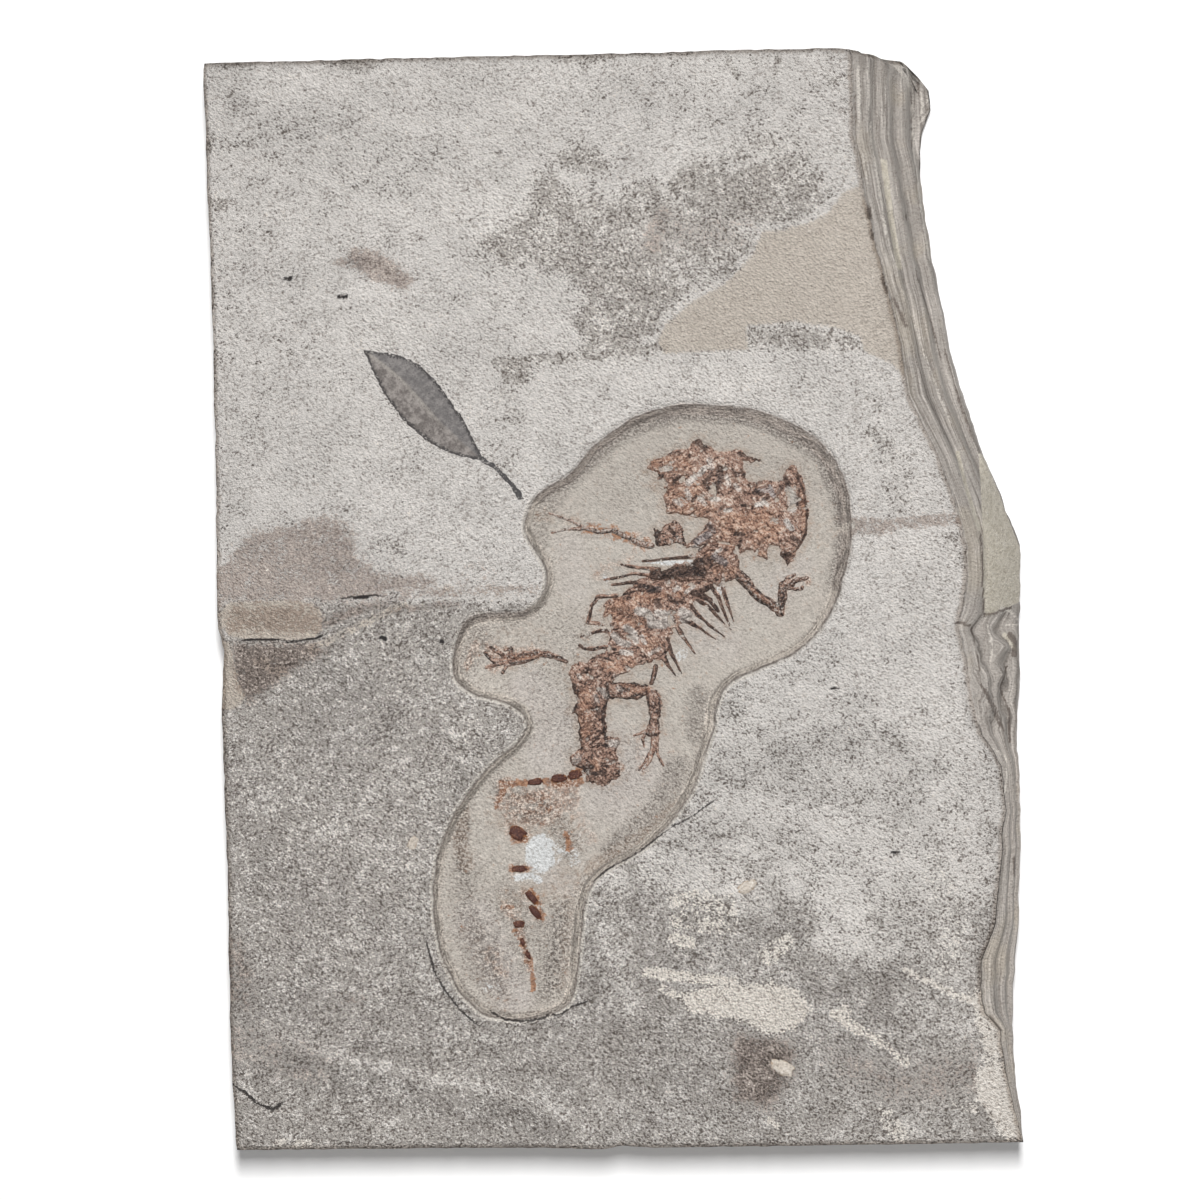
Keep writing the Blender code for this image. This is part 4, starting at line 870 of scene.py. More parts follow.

# %% [markdown]
# ## Where the stone changes colour
#
# The face carries a pale chalky film that has worn off in patches, with brown stains, tan scars
# where a flake came away, and cream crusts. Each is a few listed outlines. They only say
# roughly how much of a tone lies where; the material breaks their edges up grain by grain, so
# an outline needs no more points than its main turns.

# %% Place the patches of the face
# Each row is (strength, softness of the edge in mm, points); an area repeats its first point.
BARE = ((1, 2.2, (-25.3, 64.5), (-22, 67.5), (-16, 70.8), (-14, 76), (-11, 77.5), (-7, 74), (0, 73),
     (4, 76.5), (9, 75.5), (13, 79), (16, 80.5), (22, 77), (26, 79.5), (33, 80), (38, 76.5), (38.5, 71.5),
     (33, 68.2), (22, 67.5), (26, 64), (20, 58), (12, 54.5), (8, 49), (2, 45), (-6, 44), (-5, 48),
     (-7.5, 50.5), (-5, 54.5), (-8, 58.5), (-12, 60), (-20, 60), (-25.3, 64.5)), (0.95, 1, (-21.2, 43.4),
     (-18.6, 44.2), (-15.4, 42.4), (-14.6, 40.2), (-17, 38.7), (-19.6, 39.4), (-21.2, 43.4)),
    (0.75, 1.3, (-21, 43), (-14, 43.2), (-6, 44.2), (2, 45), (9, 45.6)), (0.85, 1.6, (-13.4, 79.8),
     (-9, 82), (-5, 83), (0, 79.5), (-3, 76), (-9, 78.5), (-13.4, 79.8)), (1.2, 1.2, (-55, 98.9),
     (-50.6, 95.8), (-46, 95.6), (-43, 96.6), (-43, 99.5), (-55, 98.9)), (1.1, 0.9, (-42.6, 97.4),
     (-36, 98), (-35, 99.6), (-42.6, 99.6), (-42.6, 97.4)), (1.1, 0.9, (-69.4, 97.8), (-64.4, 98)),
    (1.3, 1, (-75, 94), (-74.6, 86), (-73.4, 83), (-74.4, 79)), (1.1, 1, (-74, 72.6), (-70.4, 71.4)),
    (1.2, 0.8, (-73.2, 57), (-72.6, 53)), (1.1, 0.8, (-73, 45), (-72.6, 38)),
    (0.7, 1, (-11, 98.4), (-7, 97.8), (0, 98.6)), (0.8, 1, (4, 99.3), (14, 98.8)),
    (0.7, 0.8, (20.6, 98.4), (22.4, 94.8)), (0.6, 0.9, (30.2, 98.2), (28.6, 95)),
    (0.6, 0.5, (39, 94.2), (40.6, 93.8)), (0.9, 1.5, (24, 49.3), (33, 50), (40, 48.8), (45, 46.8),
     (44.8, 44.6), (33, 45.3), (24.6, 45.4), (24, 49.3)), (0.55, 3, (17, 78), (26, 82.5), (34, 82)),
    (0.4, 1.2, (54, 9.2), (56.2, 7)), (0.5, 2.5, (47.5, 30), (52, 24), (52, 18)),
    (0.5, 2, (61.5, 11), (63, 7)), (0.45, 1.6, (-18.8, 33.2), (-17, 33)), (0.5, 1.5, (-42, 10), (-38.5, 9)))
CHALK_REMNANTS = ((0.75, 2, (7, 61), (14, 63), (22, 62), (20, 57), (12, 55.5), (8, 57), (7, 61)),
    (0.6, 2, (27, 74), (33, 75.5), (37, 72), (33, 69.5), (28, 70), (27, 74)),
    (0.6, 1.2, (-12, 78.5), (-8, 80.5)), (0.6, 1, (-15, 71), (-12, 69.5)),
    (0.5, 1.6, (35, 74), (42.5, 72.5)), (0.5, 1.6, (-4, 51), (-6, 53)),
    (0.7, 1.4, (-58.6, 11.4), (-57.6, 9)), (0.6, 1, (-54.6, 11.2), (-54, 9.8)),
    (0.8, 1.3, (-42.6, 2.2), (-40, 3.4), (-38.4, 2.2)), (0.5, 1, (-66, 2.4), (-61, 1.6)),
    (0.55, 0.9, (-55.5, 3), (-51.5, 2.4)), (0.8, 0.8, (-71.3, -5.6), (-69.4, -6.8)),
    (0.6, 1.6, (-70, -21.4), (-66, -22.6)))
BROWN = ((0.68, 1.8, (-66.5, 12), (-62, 13), (-54, 15.2), (-50, 15), (-47, 13), (-46, 8), (-42, 5.2),
     (-33, 4.8), (-31, 2.8), (-36, 1.2), (-50, -0.6), (-72, -0.8), (-72.6, 4), (-66.5, 12)),
    (0.62, 1.4, (-70, -0.6), (-53, -0.6), (-53, -6.4), (-70, -6), (-70, -0.6)),
    (0.55, 1.2, (-52, -4), (-46, -1.6), (-38, 0.6)), (0.7, 1, (-73.2, 6), (-73.2, 0), (-72.6, -5)),
    (0.35, 2.2, (-27.5, 5.5), (-24, 7.8), (-21, 5), (-22, 2), (-29, 1.6), (-27.5, 5.5)),
    (0.5, 1.1, (-44, 1.6), (-30, 1.4), (-14, 1.9)), (0.5, 0.9, (-40, -1.8), (-28, -0.6)),
    (0.9, 1.6, (-68.6, -7.8), (-54, -8), (-51.5, -9.4), (-58, -12.6), (-63, -16.5), (-66, -19),
     (-68.4, -15), (-68.6, -7.8)), (0.85, 1.6, (-50.5, 61), (-47, 63.6), (-42.6, 63.2), (-39, 60.6),
     (-35.8, 58.2), (-38, 55.6), (-44, 58.2), (-50.5, 61)), (0.66, 1.9, (43, 13.2), (50, 13.4)),
    (0.62, 1.4, (50, 13.6), (57, 14.4), (63.5, 14.6)), (0.3, 3, (11, 67), (24, 66.4)),
    (0.4, 2.2, (7, 64), (9, 70)), (0.9, 2.6, (22, -78.5), (27, -79), (33, -80.5), (32.5, -86), (28, -92),
     (22, -90.5), (21.5, -84), (22, -78.5)), (0.4, 4, (38, -80), (52, -84), (66, -80), (66, -90), (50, -92),
     (40, -86), (38, -80)), (0.55, 1.2, (64.6, -84.6), (65.6, -88.4)), (0.45, 3, (-69, -63), (-66.5, -72)),
    (0.55, 0.7, (-48.8, -72.4), (-45.6, -72.2)), (0.3, 5, (-66, -80), (-55, -84)))
TAN = ((1, 0.9, (44.7, 75), (41.5, 73.5), (38.6, 69.6), (34, 67.6), (27, 66.6), (25.2, 62.2), (20, 57),
     (15, 54.4), (9.5, 49.8), (8, 46.8), (9.4, 44.6), (24.4, 45.3), (24, 49.6), (33, 50.4), (40, 49.4),
     (44.8, 47.6), (45.6, 45), (50, 43), (52.8, 40.4), (54, 41), (49.6, 57), (46.6, 69), (44.7, 75)),
    (1, 0.8, (-69.6, -0.4), (-60, 0), (-54, -0.6), (-52.6, -2.4), (-52.6, -5.4), (-54, -7), (-62, -7.4),
     (-69.4, -6.6), (-71.4, -3), (-69.6, -0.4)), (1, 0.7, (-71.8, -6.8), (-69.6, -7.6), (-68.6, -12),
     (-66.6, -17.6), (-68, -19.6), (-71.4, -20), (-71.8, -6.8)),
    (0.5, 1, (-55, -9), (-50, -6.8), (-45, -4.2), (-38, -0.8)), (0.25, 2.4, (-20, 37), (-18, 35.6)),
    (0.45, 1.6, (-64, -11), (-60, -13)), (0.3, 2.4, (-32, 1), (-16, 1.2)))
CREAM = ((1, 1.3, (12.5, -71.5), (18, -69.6), (24, -69.4), (29, -69), (34.6, -71.6), (35.4, -74.4),
     (33, -77.8), (27.6, -78.4), (24, -76.2), (17, -74.9), (13.6, -74.6), (12.5, -71.5)),
    (0.85, 1.1, (6, -67.4), (13, -68.2), (22, -69.2)), (0.7, 1, (9, -70.4), (13, -72)),
    (0.8, 0.6, (53, -67), (58, -69.5), (62, -71.4), (66.4, -73.4)), (0.85, 1.4, (64.6, -70.4),
     (67.6, -70.4), (70.6, -76), (71.8, -82), (67.8, -83.4), (66.2, -78), (64.6, -70.4)),
    (0.95, 1.2, (65.6, -85.4), (70.4, -83), (72, -88), (74.4, -97.4), (70.4, -97.4), (68, -93.4),
     (66, -90.4), (65.6, -85.4)), (0.7, 1, (40, -75), (44, -77.4), (50, -81), (53, -83.4)),
    (0.6, 1.2, (42, -74), (43, -77)), (0.5, 1.1, (62, -91), (65.6, -92.2)),
    (1, 0.7, (28.6, -94.2), (29.6, -94.8)), (0.95, 0.7, (-61.4, -98), (-59.6, -98.1)),
    (0.95, 0.7, (-56.8, -98.3), (-54.8, -98.2)), (0.5, 2, (49, -93), (52, -97)),
    (0.5, 2.2, (12, -54), (20, -55), (21, -58.6), (12, -58)), (0.7, 1.3, (11, -61.2), (14, -62)),
    (0.6, 2, (28, -64.4), (31, -62)), (0.3, 3, (58, -48), (62, -58), (60, -66)))
LIGHTER = ((0.55, 7, (24, -40), (40, -44), (52, -48)), (0.4, 3.5, (45, 10.4), (56, 10.2)),
    (0.35, 10, (-44, -44), (-42, -62)), (0.35, 7, (56, -18), (62, -34), (64, -50)), (1, 1.3, (-63, -77.4),
     (-56, -80.6), (-47, -83), (-34, -86), (-22, -88.4), (-8, -92.6)),
    (1, 0.5, (-60, -92.2), (-54, -93.2), (-46, -94), (-40, -94.3)),
    (0.6, 1.2, (-40, -84.6), (-20, -89.4), (-4, -95.4)), (0.6, 4, (50, -54), (58, -56), (63, -61)),
    (0.35, 2, (14, -66.4), (26, -67)), (0.9, 6, (36, -50), (41, -54), (42, -60)),
    (0.5, 6, (50, -60), (60, -64), (62, -72)), (0.8, 4, (-1, -51), (0, -60), (2, -72)),
    (0.55, 4, (7, -48.6), (20, -50.6)), (0.5, 6, (-28, 74), (-14, 66), (6, 70), (18, 68)),
    (0.5, 4, (-62, 93), (-50, 93.6)), (0.4, 3.5, (6, 38.6), (22, 39.6), (36, 36)),
    (0.4, 6, (-42, -8), (-30, -24), (-38, -32)), (0.5, 4, (56, -18), (60, -27)),
    (0.35, 5, (60, 40), (57, 24)))
DARKER = ((0.3, 6, (-66, 93), (-51, 84), (-24, 74)), (0.3, 5, (-4, 92), (20, 88), (38, 90)),
    (0.9, 2.4, (-62, -82), (-50, -86.6), (-36, -89.6), (-20, -92.4), (-10, -96)),
    (0.3, 4, (-68, -60), (-66, -80)), (0.35, 2.6, (38, -25), (50, -25), (57, -30)),
    (0.3, 7, (24, -32), (36, -30)), (0.35, 4, (12, -63.6), (24, -63), (34, -58)),
    (0.3, 8, (0, -60), (8, -84)), (0.35, 8, (-58, -18), (-44, -14)),
    (0.4, 4, (36, -68), (48, -70), (56, -66), (64, -66)), (0.35, 5, (52, -56), (66, -62), (62, -72)),
    (0.5, 2, (-50, -3.2), (-43, -4.8)), (0.45, 4, (20, -41), (33, -44)),
    (0.4, 2.4, (20.6, -20), (24, -16.6)), (0.4, 5, (-63.6, -36), (-64, -54)),
    (0.4, 4, (-66, -72), (-56, -73)), (0.3, 5, (-70, 20), (-66, 12)), (0.75, 1, (-66.8, -9), (-67.2, -14)),
    (0.7, 0.9, (-53.4, -4.4), (-52.6, -6.4)))
BLACK = ((1, 0.6, (-49, 0.1), (-45.6, 0.8), (-42.4, 0.9), (-44.6, 0.2), (-49, 0.1)),
    (0.75, 0.3, (-67.2, -7.3), (-62, -7.1), (-58, -7.5), (-54, -7.1), (-52.4, -6.4)),
    (0.9, 0.5, (-41.9, -6.8), (-41.2, -7)), (0.8, 0.45, (-31, -7.4), (-30.7, -7.6)),
    (0.8, 0.5, (-59, 58.2), (-57, 57.4)), (0.6, 0.4, (-60, 58.6), (-59.4, 58.4)),
    (0.7, 0.4, (-49.6, 54.8), (-48.2, 54.8)), (0.75, 0.4, (-67.4, 40.9), (-67.3, 40.5)),
    (0.6, 0.3, (-59.4, 44.8), (-59.2, 45.2)), (0.7, 0.45, (39.6, -15.9), (40.6, -16)),
    (0.7, 0.4, (50.4, -45.6), (51.8, -45.8)), (0.6, 0.4, (10, 75.2), (10.2, 75.6)),
    (0.6, 0.4, (0.1, 70.8), (0.4, 70.8)), (0.6, 0.4, (20.2, -62.2), (20.7, -62.6)),
    (0.6, 0.35, (17.2, -54.6), (18.2, -54.4)), (0.5, 0.4, (-25.2, -85.6), (-24.6, -86.2)))
# Cracks too fine for the grid: (half-width in mm, points).
CRACKS = ((0.24, (-70.6, -86.6), (-69.2, -87.5), (-66.5, -89), (-64.5, -91), (-62.5, -91.8), (-61, -92.1),
     (-60.2, -91.2)), (0.11, (-3, -50.4), (-1.1, -48.8), (3.5, -46.3), (5.5, -45), (8.5, -42.6),
     (11, -40.7), (12.5, -40.2), (15, -38.6), (18, -36.4)), (0.16, (-21.8, -74.7), (-19.4, -75.9),
     (-16.4, -76.2), (-13.6, -75.9), (-11.4, -75.1), (-9.4, -74.9), (-7.2, -73.4), (-4.8, -72.7)),
    (0.13, (-33.6, -62.4), (-32.4, -67), (-30.4, -70.6), (-27.6, -74.2), (-24.8, -76.6)),
    (0.1, (-67.2, -7.3), (-62, -7.1), (-58, -7.5), (-54, -7.1), (-52.4, -6.4)),
    (0.12, (-49, 0.3), (-45.6, 0.7), (-42.4, 0.9)))
print("marks on the face:", sum(map(len, (BARE, CHALK_REMNANTS, BROWN, TAN, CREAM, LIGHTER, DARKER,
                                         BLACK))))

# %% [markdown]
# ## The floor of the hollow
#
# The bed that the newt lies on is smoother and warmer than the face. It is greenish beige
# round the head, greyer under the belly, speckled where the knife left stone at the foot of the
# wall, and it has one milky blue-white patch beside the tail. A brown stain clings to the bones.

# %% Place the tones of the hollow's floor
MILKY = ((1, 0.6, (-15.8, -44.6), (-14.6, -43), (-12.4, -42.2), (-11.2, -43.6), (-10.8, -46), (-10.4, -48),
     (-12.6, -49.6), (-15.4, -48.8), (-16, -46.4), (-15.8, -44.6)),
    (0.9, 0.7, (-17.4, -50.2), (-14.6, -50), (-13.4, -50.8)), (0.4, 2.2, (-12, -44), (-7, -47)),
    (0.35, 1.6, (-5, -43.2), (-4.6, -41)), (0.9, 0.35, (6.2, 6.9), (9, 6.6), (14, 6.95)),
    (0.55, 0.8, (19, 1), (19.6, 2.4)), (0.7, 0.5, (-1.6, 4.4), (-1.2, 3.4)),
    (0.5, 1, (12, -10.4), (12.8, -9.4)), (0.35, 1.2, (-24, -70), (-21, -70.2)))
GREY_FLOOR = ((0.9, 5, (-4, -22), (8, -26), (10, -34), (2, -40), (-5, -38), (-4, -22)),
    (0.8, 4, (-15, -16), (-10, -22), (-12, -28)), (0.5, 4, (14, -4), (20, -8)),
    (1, 4, (-25, -58), (-21, -66), (-18, -72)), (0.5, 3, (-8, 10), (-7, 2)),
    (0.5, 2.5, (-12, -50), (-8, -52)), (0.5, 3, (28, 0), (34, 6)))
SPECKLED_FLOOR = ((0.75, 3.4, (-28, -42), (-29.6, -50), (-28, -60), (-26, -68), (-21, -73), (-18, -72),
     (-20, -60), (-24, -56), (-25, -46), (-28, -42)),
    (0.8, 1.6, (-28, -35), (-27.2, -40), (-27.6, -46), (-27, -50)), (0.9, 2.2, (-14, -73), (-9, -71.6),
     (-7.6, -62), (-7.6, -54), (-11, -55), (-12.6, -62), (-14, -73)),
    (0.45, 4, (-18, -66), (-14, -60), (-20, -54)), (0.3, 6, (0, 20), (14, 30), (36, 24)),
    (0.3, 6, (-8, -6), (-10, -20), (0, -30)), (0.6, 2.4, (-27, -12), (-24, -6)),
    (0.7, 2.6, (12, -30), (8, -38), (0, -45.4)), (0.7, 2.2, (15.6, -17), (15.2, -24)),
    (0.6, 1.8, (-13, 11), (-13, 16), (-9, 20)), (0.6, 2.4, (-20, -34), (-12, -38), (-18, -38)),
    (0.6, 2.2, (-10, -40), (-7.4, -45)))
BROWN_FLOOR = ((0.5, 3.4, (-20, -40), (-8, -41.6), (-8, -52), (-18, -54)),
    (0.75, 1.8, (12.4, -37), (7, -42), (0, -46.4), (-4, -49)),
    (0.5, 1.6, (-7.6, -52), (-8.4, -60), (-8.6, -70)), (0.4, 2, (-19, -33.8), (-12, -37)),
    (0.85, 1.5, (-27.8, -35), (-27.2, -39), (-27.6, -44), (-26.4, -48)), (0.35, 3, (-26, -60), (-20, -73)),
    (0.5, 1.2, (-18, 15.4), (-8, 14.6), (-2, 12.4)), (0.3, 3, (-24, -8), (-14, -6)),
    (0.35, 3, (38, 12), (42, 14)))

RIM_SHADE = ((1, 3.2, (-12.5, 20.5), (-7, 24.4), (0.7, 31.1), (12.3, 35.3), (26, 34.4), (38.2, 28),
     (43, 16.8), (43, 8), (42, 4)), (1, 1, (-27.2, -5.2), (-26.2, -3.6), (-22.4, -2.5), (-16, -2.2)),
    (0.55, 1.2, (-28.6, -13), (-28.9, -10.4), (-27.9, -6.4)),
    (0.6, 2, (42, 2), (38.8, -6.4), (32.4, -11.4), (26, -15)))
PALE_SEAM = ((0.9, 0.8, (36.0, 10.4), (40.0, 12.4), (44.0, 13.8)),)
CRUMBS = ((0.9, 1.6, (-8, -34), (-13, -35.4), (-19, -36.6)), (0.8, 1.6, (-19.6, -33.4), (-20.4, -37)),
    (0.8, 2.2, (-9, -36.4), (-13, -39.4), (-18, -39)), (0.7, 1.4, (-6.6, -34.4), (-7.4, -37.6)),
    (0.9, 1.5, (-18.6, -41.6), (-16, -42.6)), (0.8, 1.2, (-18.4, -48.8), (-15.6, -48.6)),
    (0.9, 1.5, (-1, -29), (1, -30.6)), (0.6, 1.2, (-16.4, -53.4), (-13.6, -57.4)),
    (0.8, 1.3, (-19.6, -55.6), (-17.6, -57.4)), (0.8, 0.8, (-17, -58), (-16, -63), (-15.2, -67)),
    (0.9, 1.5, (-22.4, -8.8), (-20, -10.2), (-21.6, -12.2)), (0.7, 1, (-18.6, -9.2), (-13.4, -9.4)),
    (0.8, 1, (-24.8, -8), (-26.4, -12)), (0.7, 1.4, (32.4, 3.4), (35, 3.6)),
    (0.6, 1, (30.4, -2.4), (31, 1.4)), (0.5, 0.8, (-12, 16.4), (-5.4, 13.4), (-1, 12.8)),
    (0.7, 1.2, (4.4, 11.6), (6.6, 10.2)), (0.6, 1.4, (5, -25), (5.4, -30.4)),
    (0.5, 1.4, (-3, 4), (0, 6.6), (5, 9)), (0.5, 2, (-22, -64), (-20, -68)),
    (0.6, 1.6, (-5.6, -39.4), (-4, -43)))
RUST_FLOOR = ((0.9, 0.7, (-15.6, -33), (-17.6, -33.2), (-20, -33.8)), (0.9, 0.6, (-20.2, -33),
     (-19.4, -34.3), (-20.5, -35.6), (-21, -37.5)), (0.8, 0.8, (-12.4, -32.8), (-9, -33.4), (-6, -33)),
    (0.8, 0.9, (-17.8, -43.4), (-16, -43.2)), (0.9, 0.7, (-18.6, -48.6), (-15.6, -48.8)),
    (0.7, 0.6, (-20.2, -55.6), (-18.6, -55.7)), (0.9, 0.55, (-17.6, -59.8), (-17, -61.2), (-16.4, -62.8)),
    (0.9, 0.5, (-16, -63), (-15.2, -66.2)), (0.9, 0.5, (-15.1, -64.7), (-14.6, -68.2), (-14.4, -70.6)),
    (0.7, 1, (-3, -31), (-6, -31)), (0.8, 0.7, (-8.4, -42.2), (-7.8, -45)),
    (0.6, 0.9, (-13, -36.6), (-11.6, -38)), (0.5, 0.9, (-4, -31.6), (0.4, -31)),
    (0.7, 0.6, (-14.6, -52.6), (-13.2, -55.4), (-12.6, -57.8)), (0.5, 0.8, (-20, -10.6), (-14, -10)),
    (0.62, 1.3, (-5, 13.2), (2, 11.6), (6, 10.2)))
print("marks in the hollow:", sum(map(len, (MILKY, GREY_FLOOR, SPECKLED_FLOOR, BROWN_FLOOR, CRUMBS,
                                           RUST_FLOOR))))

# %% [markdown]
# ## Tones of the broken side
#
# The broken side has smooth tan scars where flakes sprang off, plain stretches where the beds
# hardly show, a painted highlight on the ledges that catch the light and painted shade in the
# slots below them. They are placed on the steps in the same way as the patches of the face.

# %% Place the tones of the broken side
SIDE_TAN = ((1, 0.45, (66.9, 27), (68.4, 26), (73.6, 12), (75.4, 8), (75.4, 0), (73, -1), (70, -2),
     (67.6, -3), (67, 3), (67.2, 10), (66.9, 27)), (0.8, 0.5, (62.6, 26.8), (64.2, 20), (66.4, 13)),
    (0.7, 0.8, (49.2, 80), (50.4, 70), (52, 60)), (0.6, 0.7, (71.6, -6.4), (73.6, -9)))
SIDE_PLAIN = ((1, 0.8, (50.2, 99), (54.4, 97), (54.8, 84), (55.4, 74), (57.6, 62), (55.6, 60), (53, 62),
     (51.4, 72), (50.2, 86), (50.2, 99)), (0.9, 0.8, (60, 30), (62.6, 24), (67, 12), (66.6, -2),
     (64.4, -3.4), (64, 6), (62.6, 18), (59.4, 27), (60, 30)), (0.9, 0.9, (67.4, -3), (71.2, -4.4),
     (70.4, -12), (67.6, -12), (66.6, -6), (67.4, -3)),
    (0.7, 1.4, (71, -30), (74, -40), (73, -60), (72, -80)))
SIDE_PAINTED_HIGHLIGHT = ((1, 0.35, (50.5, 98.6), (54.6, 98.8), (54.9, 94.5), (54, 94.5), (50.5, 98.6)),
    (0.8, 0.22, (44.4, 97), (44.8, 84), (46.6, 74)), (0.7, 0.25, (46, 98), (46.8, 84), (49.4, 66)),
    (0.8, 0.3, (55.2, 96), (55.4, 84), (56.4, 72), (58, 62)), (0.9, 0.3, (57.2, 94.6), (57, 88)),
    (0.7, 0.2, (58.1, 92.6), (57.8, 88)), (0.9, 0.3, (70.5, -1.4), (72.6, -2), (74.2, -3.6)),
    (0.7, 0.3, (72, -4.4), (74.3, -4.6)), (0.8, 0.22, (67, -26.5), (69.5, -27.2), (71.5, -28.7),
     (71.2, -33), (70.5, -37)), (0.6, 0.25, (52.6, 56), (57.6, 42), (61.6, 32)),
    (0.6, 0.3, (68, -4.6), (69, -8), (68.6, -12)), (0.5, 0.25, (47.8, 80), (49, 70), (51.4, 58)))
SIDE_PAINTED_SHADE = ((1, 0.35, (45.5, 73.5), (46.5, 73.5)), (1, 0.38, (46.2, 71.2), (46.6, 68.8)),
    (0.9, 0.38, (46.9, 66.8), (47.2, 65)), (0.8, 0.4, (48, 60), (48.8, 57.6), (49.5, 56)),
    (0.7, 0.5, (50.5, 55), (52, 52), (53, 49.5)), (0.9, 0.35, (53.4, 70), (53.6, 69)),
    (0.7, 0.2, (54.9, 97), (55.1, 84), (56, 72)), (0.6, 0.18, (56.4, 96), (56.4, 86)),
    (0.7, 0.25, (57.6, 86.6), (58.4, 91)), (1, 0.22, (66.6, 12), (67, 3), (67.4, -2.5)),
    (0.8, 0.3, (67.5, -2.8), (70, -2.2), (73, -1.2)), (1, 0.3, (62.2, -4.2), (64.2, -4.4), (65, -5)),
    (0.8, 0.22, (65, -5), (66, -9), (66.4, -13)), (0.9, 0.7, (72.6, -6.4), (73.8, -8), (73.4, -10)),
    (0.8, 0.3, (66.4, -15), (68.6, -19), (70.4, -23)),
    (0.8, 0.3, (72, -12), (70.6, -16), (72.4, -20), (72.6, -26)),
    (0.7, 0.25, (67.4, -16), (69.6, -19.6), (71.2, -24)), (0.6, 0.25, (54, 46), (57.4, 36), (60, 30)),
    (0.6, 0.3, (60.6, 46), (63.4, 36), (66, 29)), (0.8, 0.45, (73, -47), (73.2, -50)),
    (0.7, 0.3, (55, 60), (58.4, 50), (60, 44)), (0.7, 0.25, (68, -75), (70.4, -78)),
    (0.6, 0.3, (44, 92), (44.2, 84), (45.6, 76)))
print("marks on the broken side:", sum(map(len, (SIDE_TAN, SIDE_PLAIN, SIDE_PAINTED_HIGHLIGHT, SIDE_PAINTED_SHADE))))

# %% [markdown]
# ## What the limestone material reads
#
# A material can't look up an outline, so every table becomes one number at each point of the
# skin. The film is full in the north and thins out towards the south, and thinner still where
# the outlines say so. The walls and the underside take one even value each.

# %% Work out film, cracks and stains
on_face = out_share == 0.0
in_hollow = ramp(rim_depth, -0.1, 0.1) * on_face
west = 1.0 - ramp(gx, -20.0, 15.0)
film = 0.95 - 0.78 * west * ramp(-gy, -1.5, 3.0) - 0.54 * (1.0 - west) * ramp(-gy, -8.0, 80.0)
film -= 0.10 * ramp(gx, -40.0, -75.0) * ramp(gy, 20.0, 50.0)
bare = marks(gx, gy, BARE)
film = np.maximum(film - 0.68 * bare, 0.75 * marks(gx, gy, CHALK_REMNANTS) * (gy > -30.0))
shade = 0.5 * marks(gx, gy, LIGHTER) - 0.5 * marks(gx, gy, DARKER)
film = np.clip(film + 0.6 * shade, 0.0, 1.0)
shade += 0.28 * bare - 0.16 * (1.0 - ramp(gx, -62.0, -34.0)) * ramp(gy, 0.0, 12.0)
milky, grey_floor = marks(gx, gy, MILKY), marks(gx, gy, GREY_FLOOR)
# Painted shade for the wall of the hollow where it looks away from the lamp, with a gap where a pale seam
# crosses it; the speckled band at the wall's foot is widened there.
painted_wall_shade = marks(gx, gy, RIM_SHADE) * (1.0 - marks(gx, gy, PALE_SEAM))
wall_foot = (0.35 + 0.6 * painted_wall_shade) * (1.0 - ramp(rim_depth - wall, 0.2, 1.4 + 3.4 * painted_wall_shade))
speckled = np.maximum(marks(gx, gy, SPECKLED_FLOOR), wall_foot)
edge_gap = np.minimum.reduce((left_gap, bottom_gap, top_gap, np.where(on_face, right_gap, 1.0)))

# A crack is kept as the distance to its line, with the side as its sign: between two points of
# the grid that crosses zero at the right place, so the line can be finer than the grid.
crack_gap, crack_width = np.full(gx.shape, 9.0), np.zeros(gx.shape)
for width, *line in CRACKS:
    distance, line_side, _ = along(gx, gy, line)
    nearer = distance < np.abs(crack_gap)
    crack_gap = np.where(nearer, distance * line_side, crack_gap)
    crack_width = np.where(nearer, width * (1.0 - ramp(distance, 0.6, 1.6)), crack_width)

# The brown stain clings to the bones and fades over a few millimetres.
halo = np.zeros(gx.shape)
newt_near = (rim_depth > 0.0) & (gy > -40.0)
near_x, near_y = gx[newt_near], gy[newt_near]
for plates, rods, _, faint in BONES.values():
    for outline, _, _ in plates:
        nearness = 1.0 - ramp(-depth(near_x, near_y, outline), 0.0, 2.6)
        halo[newt_near] = np.maximum(halo[newt_near], nearness)
    for line, start, _ in rods:
        nearness = (1.0 - ramp(along(near_x, near_y, line)[0], start, start + 1.3)) * (1.0 - faint)
        halo[newt_near] = np.maximum(halo[newt_near], 0.7 * nearness)
print(f"film on {100.0 * film[on_face].mean():.0f} % of the face")

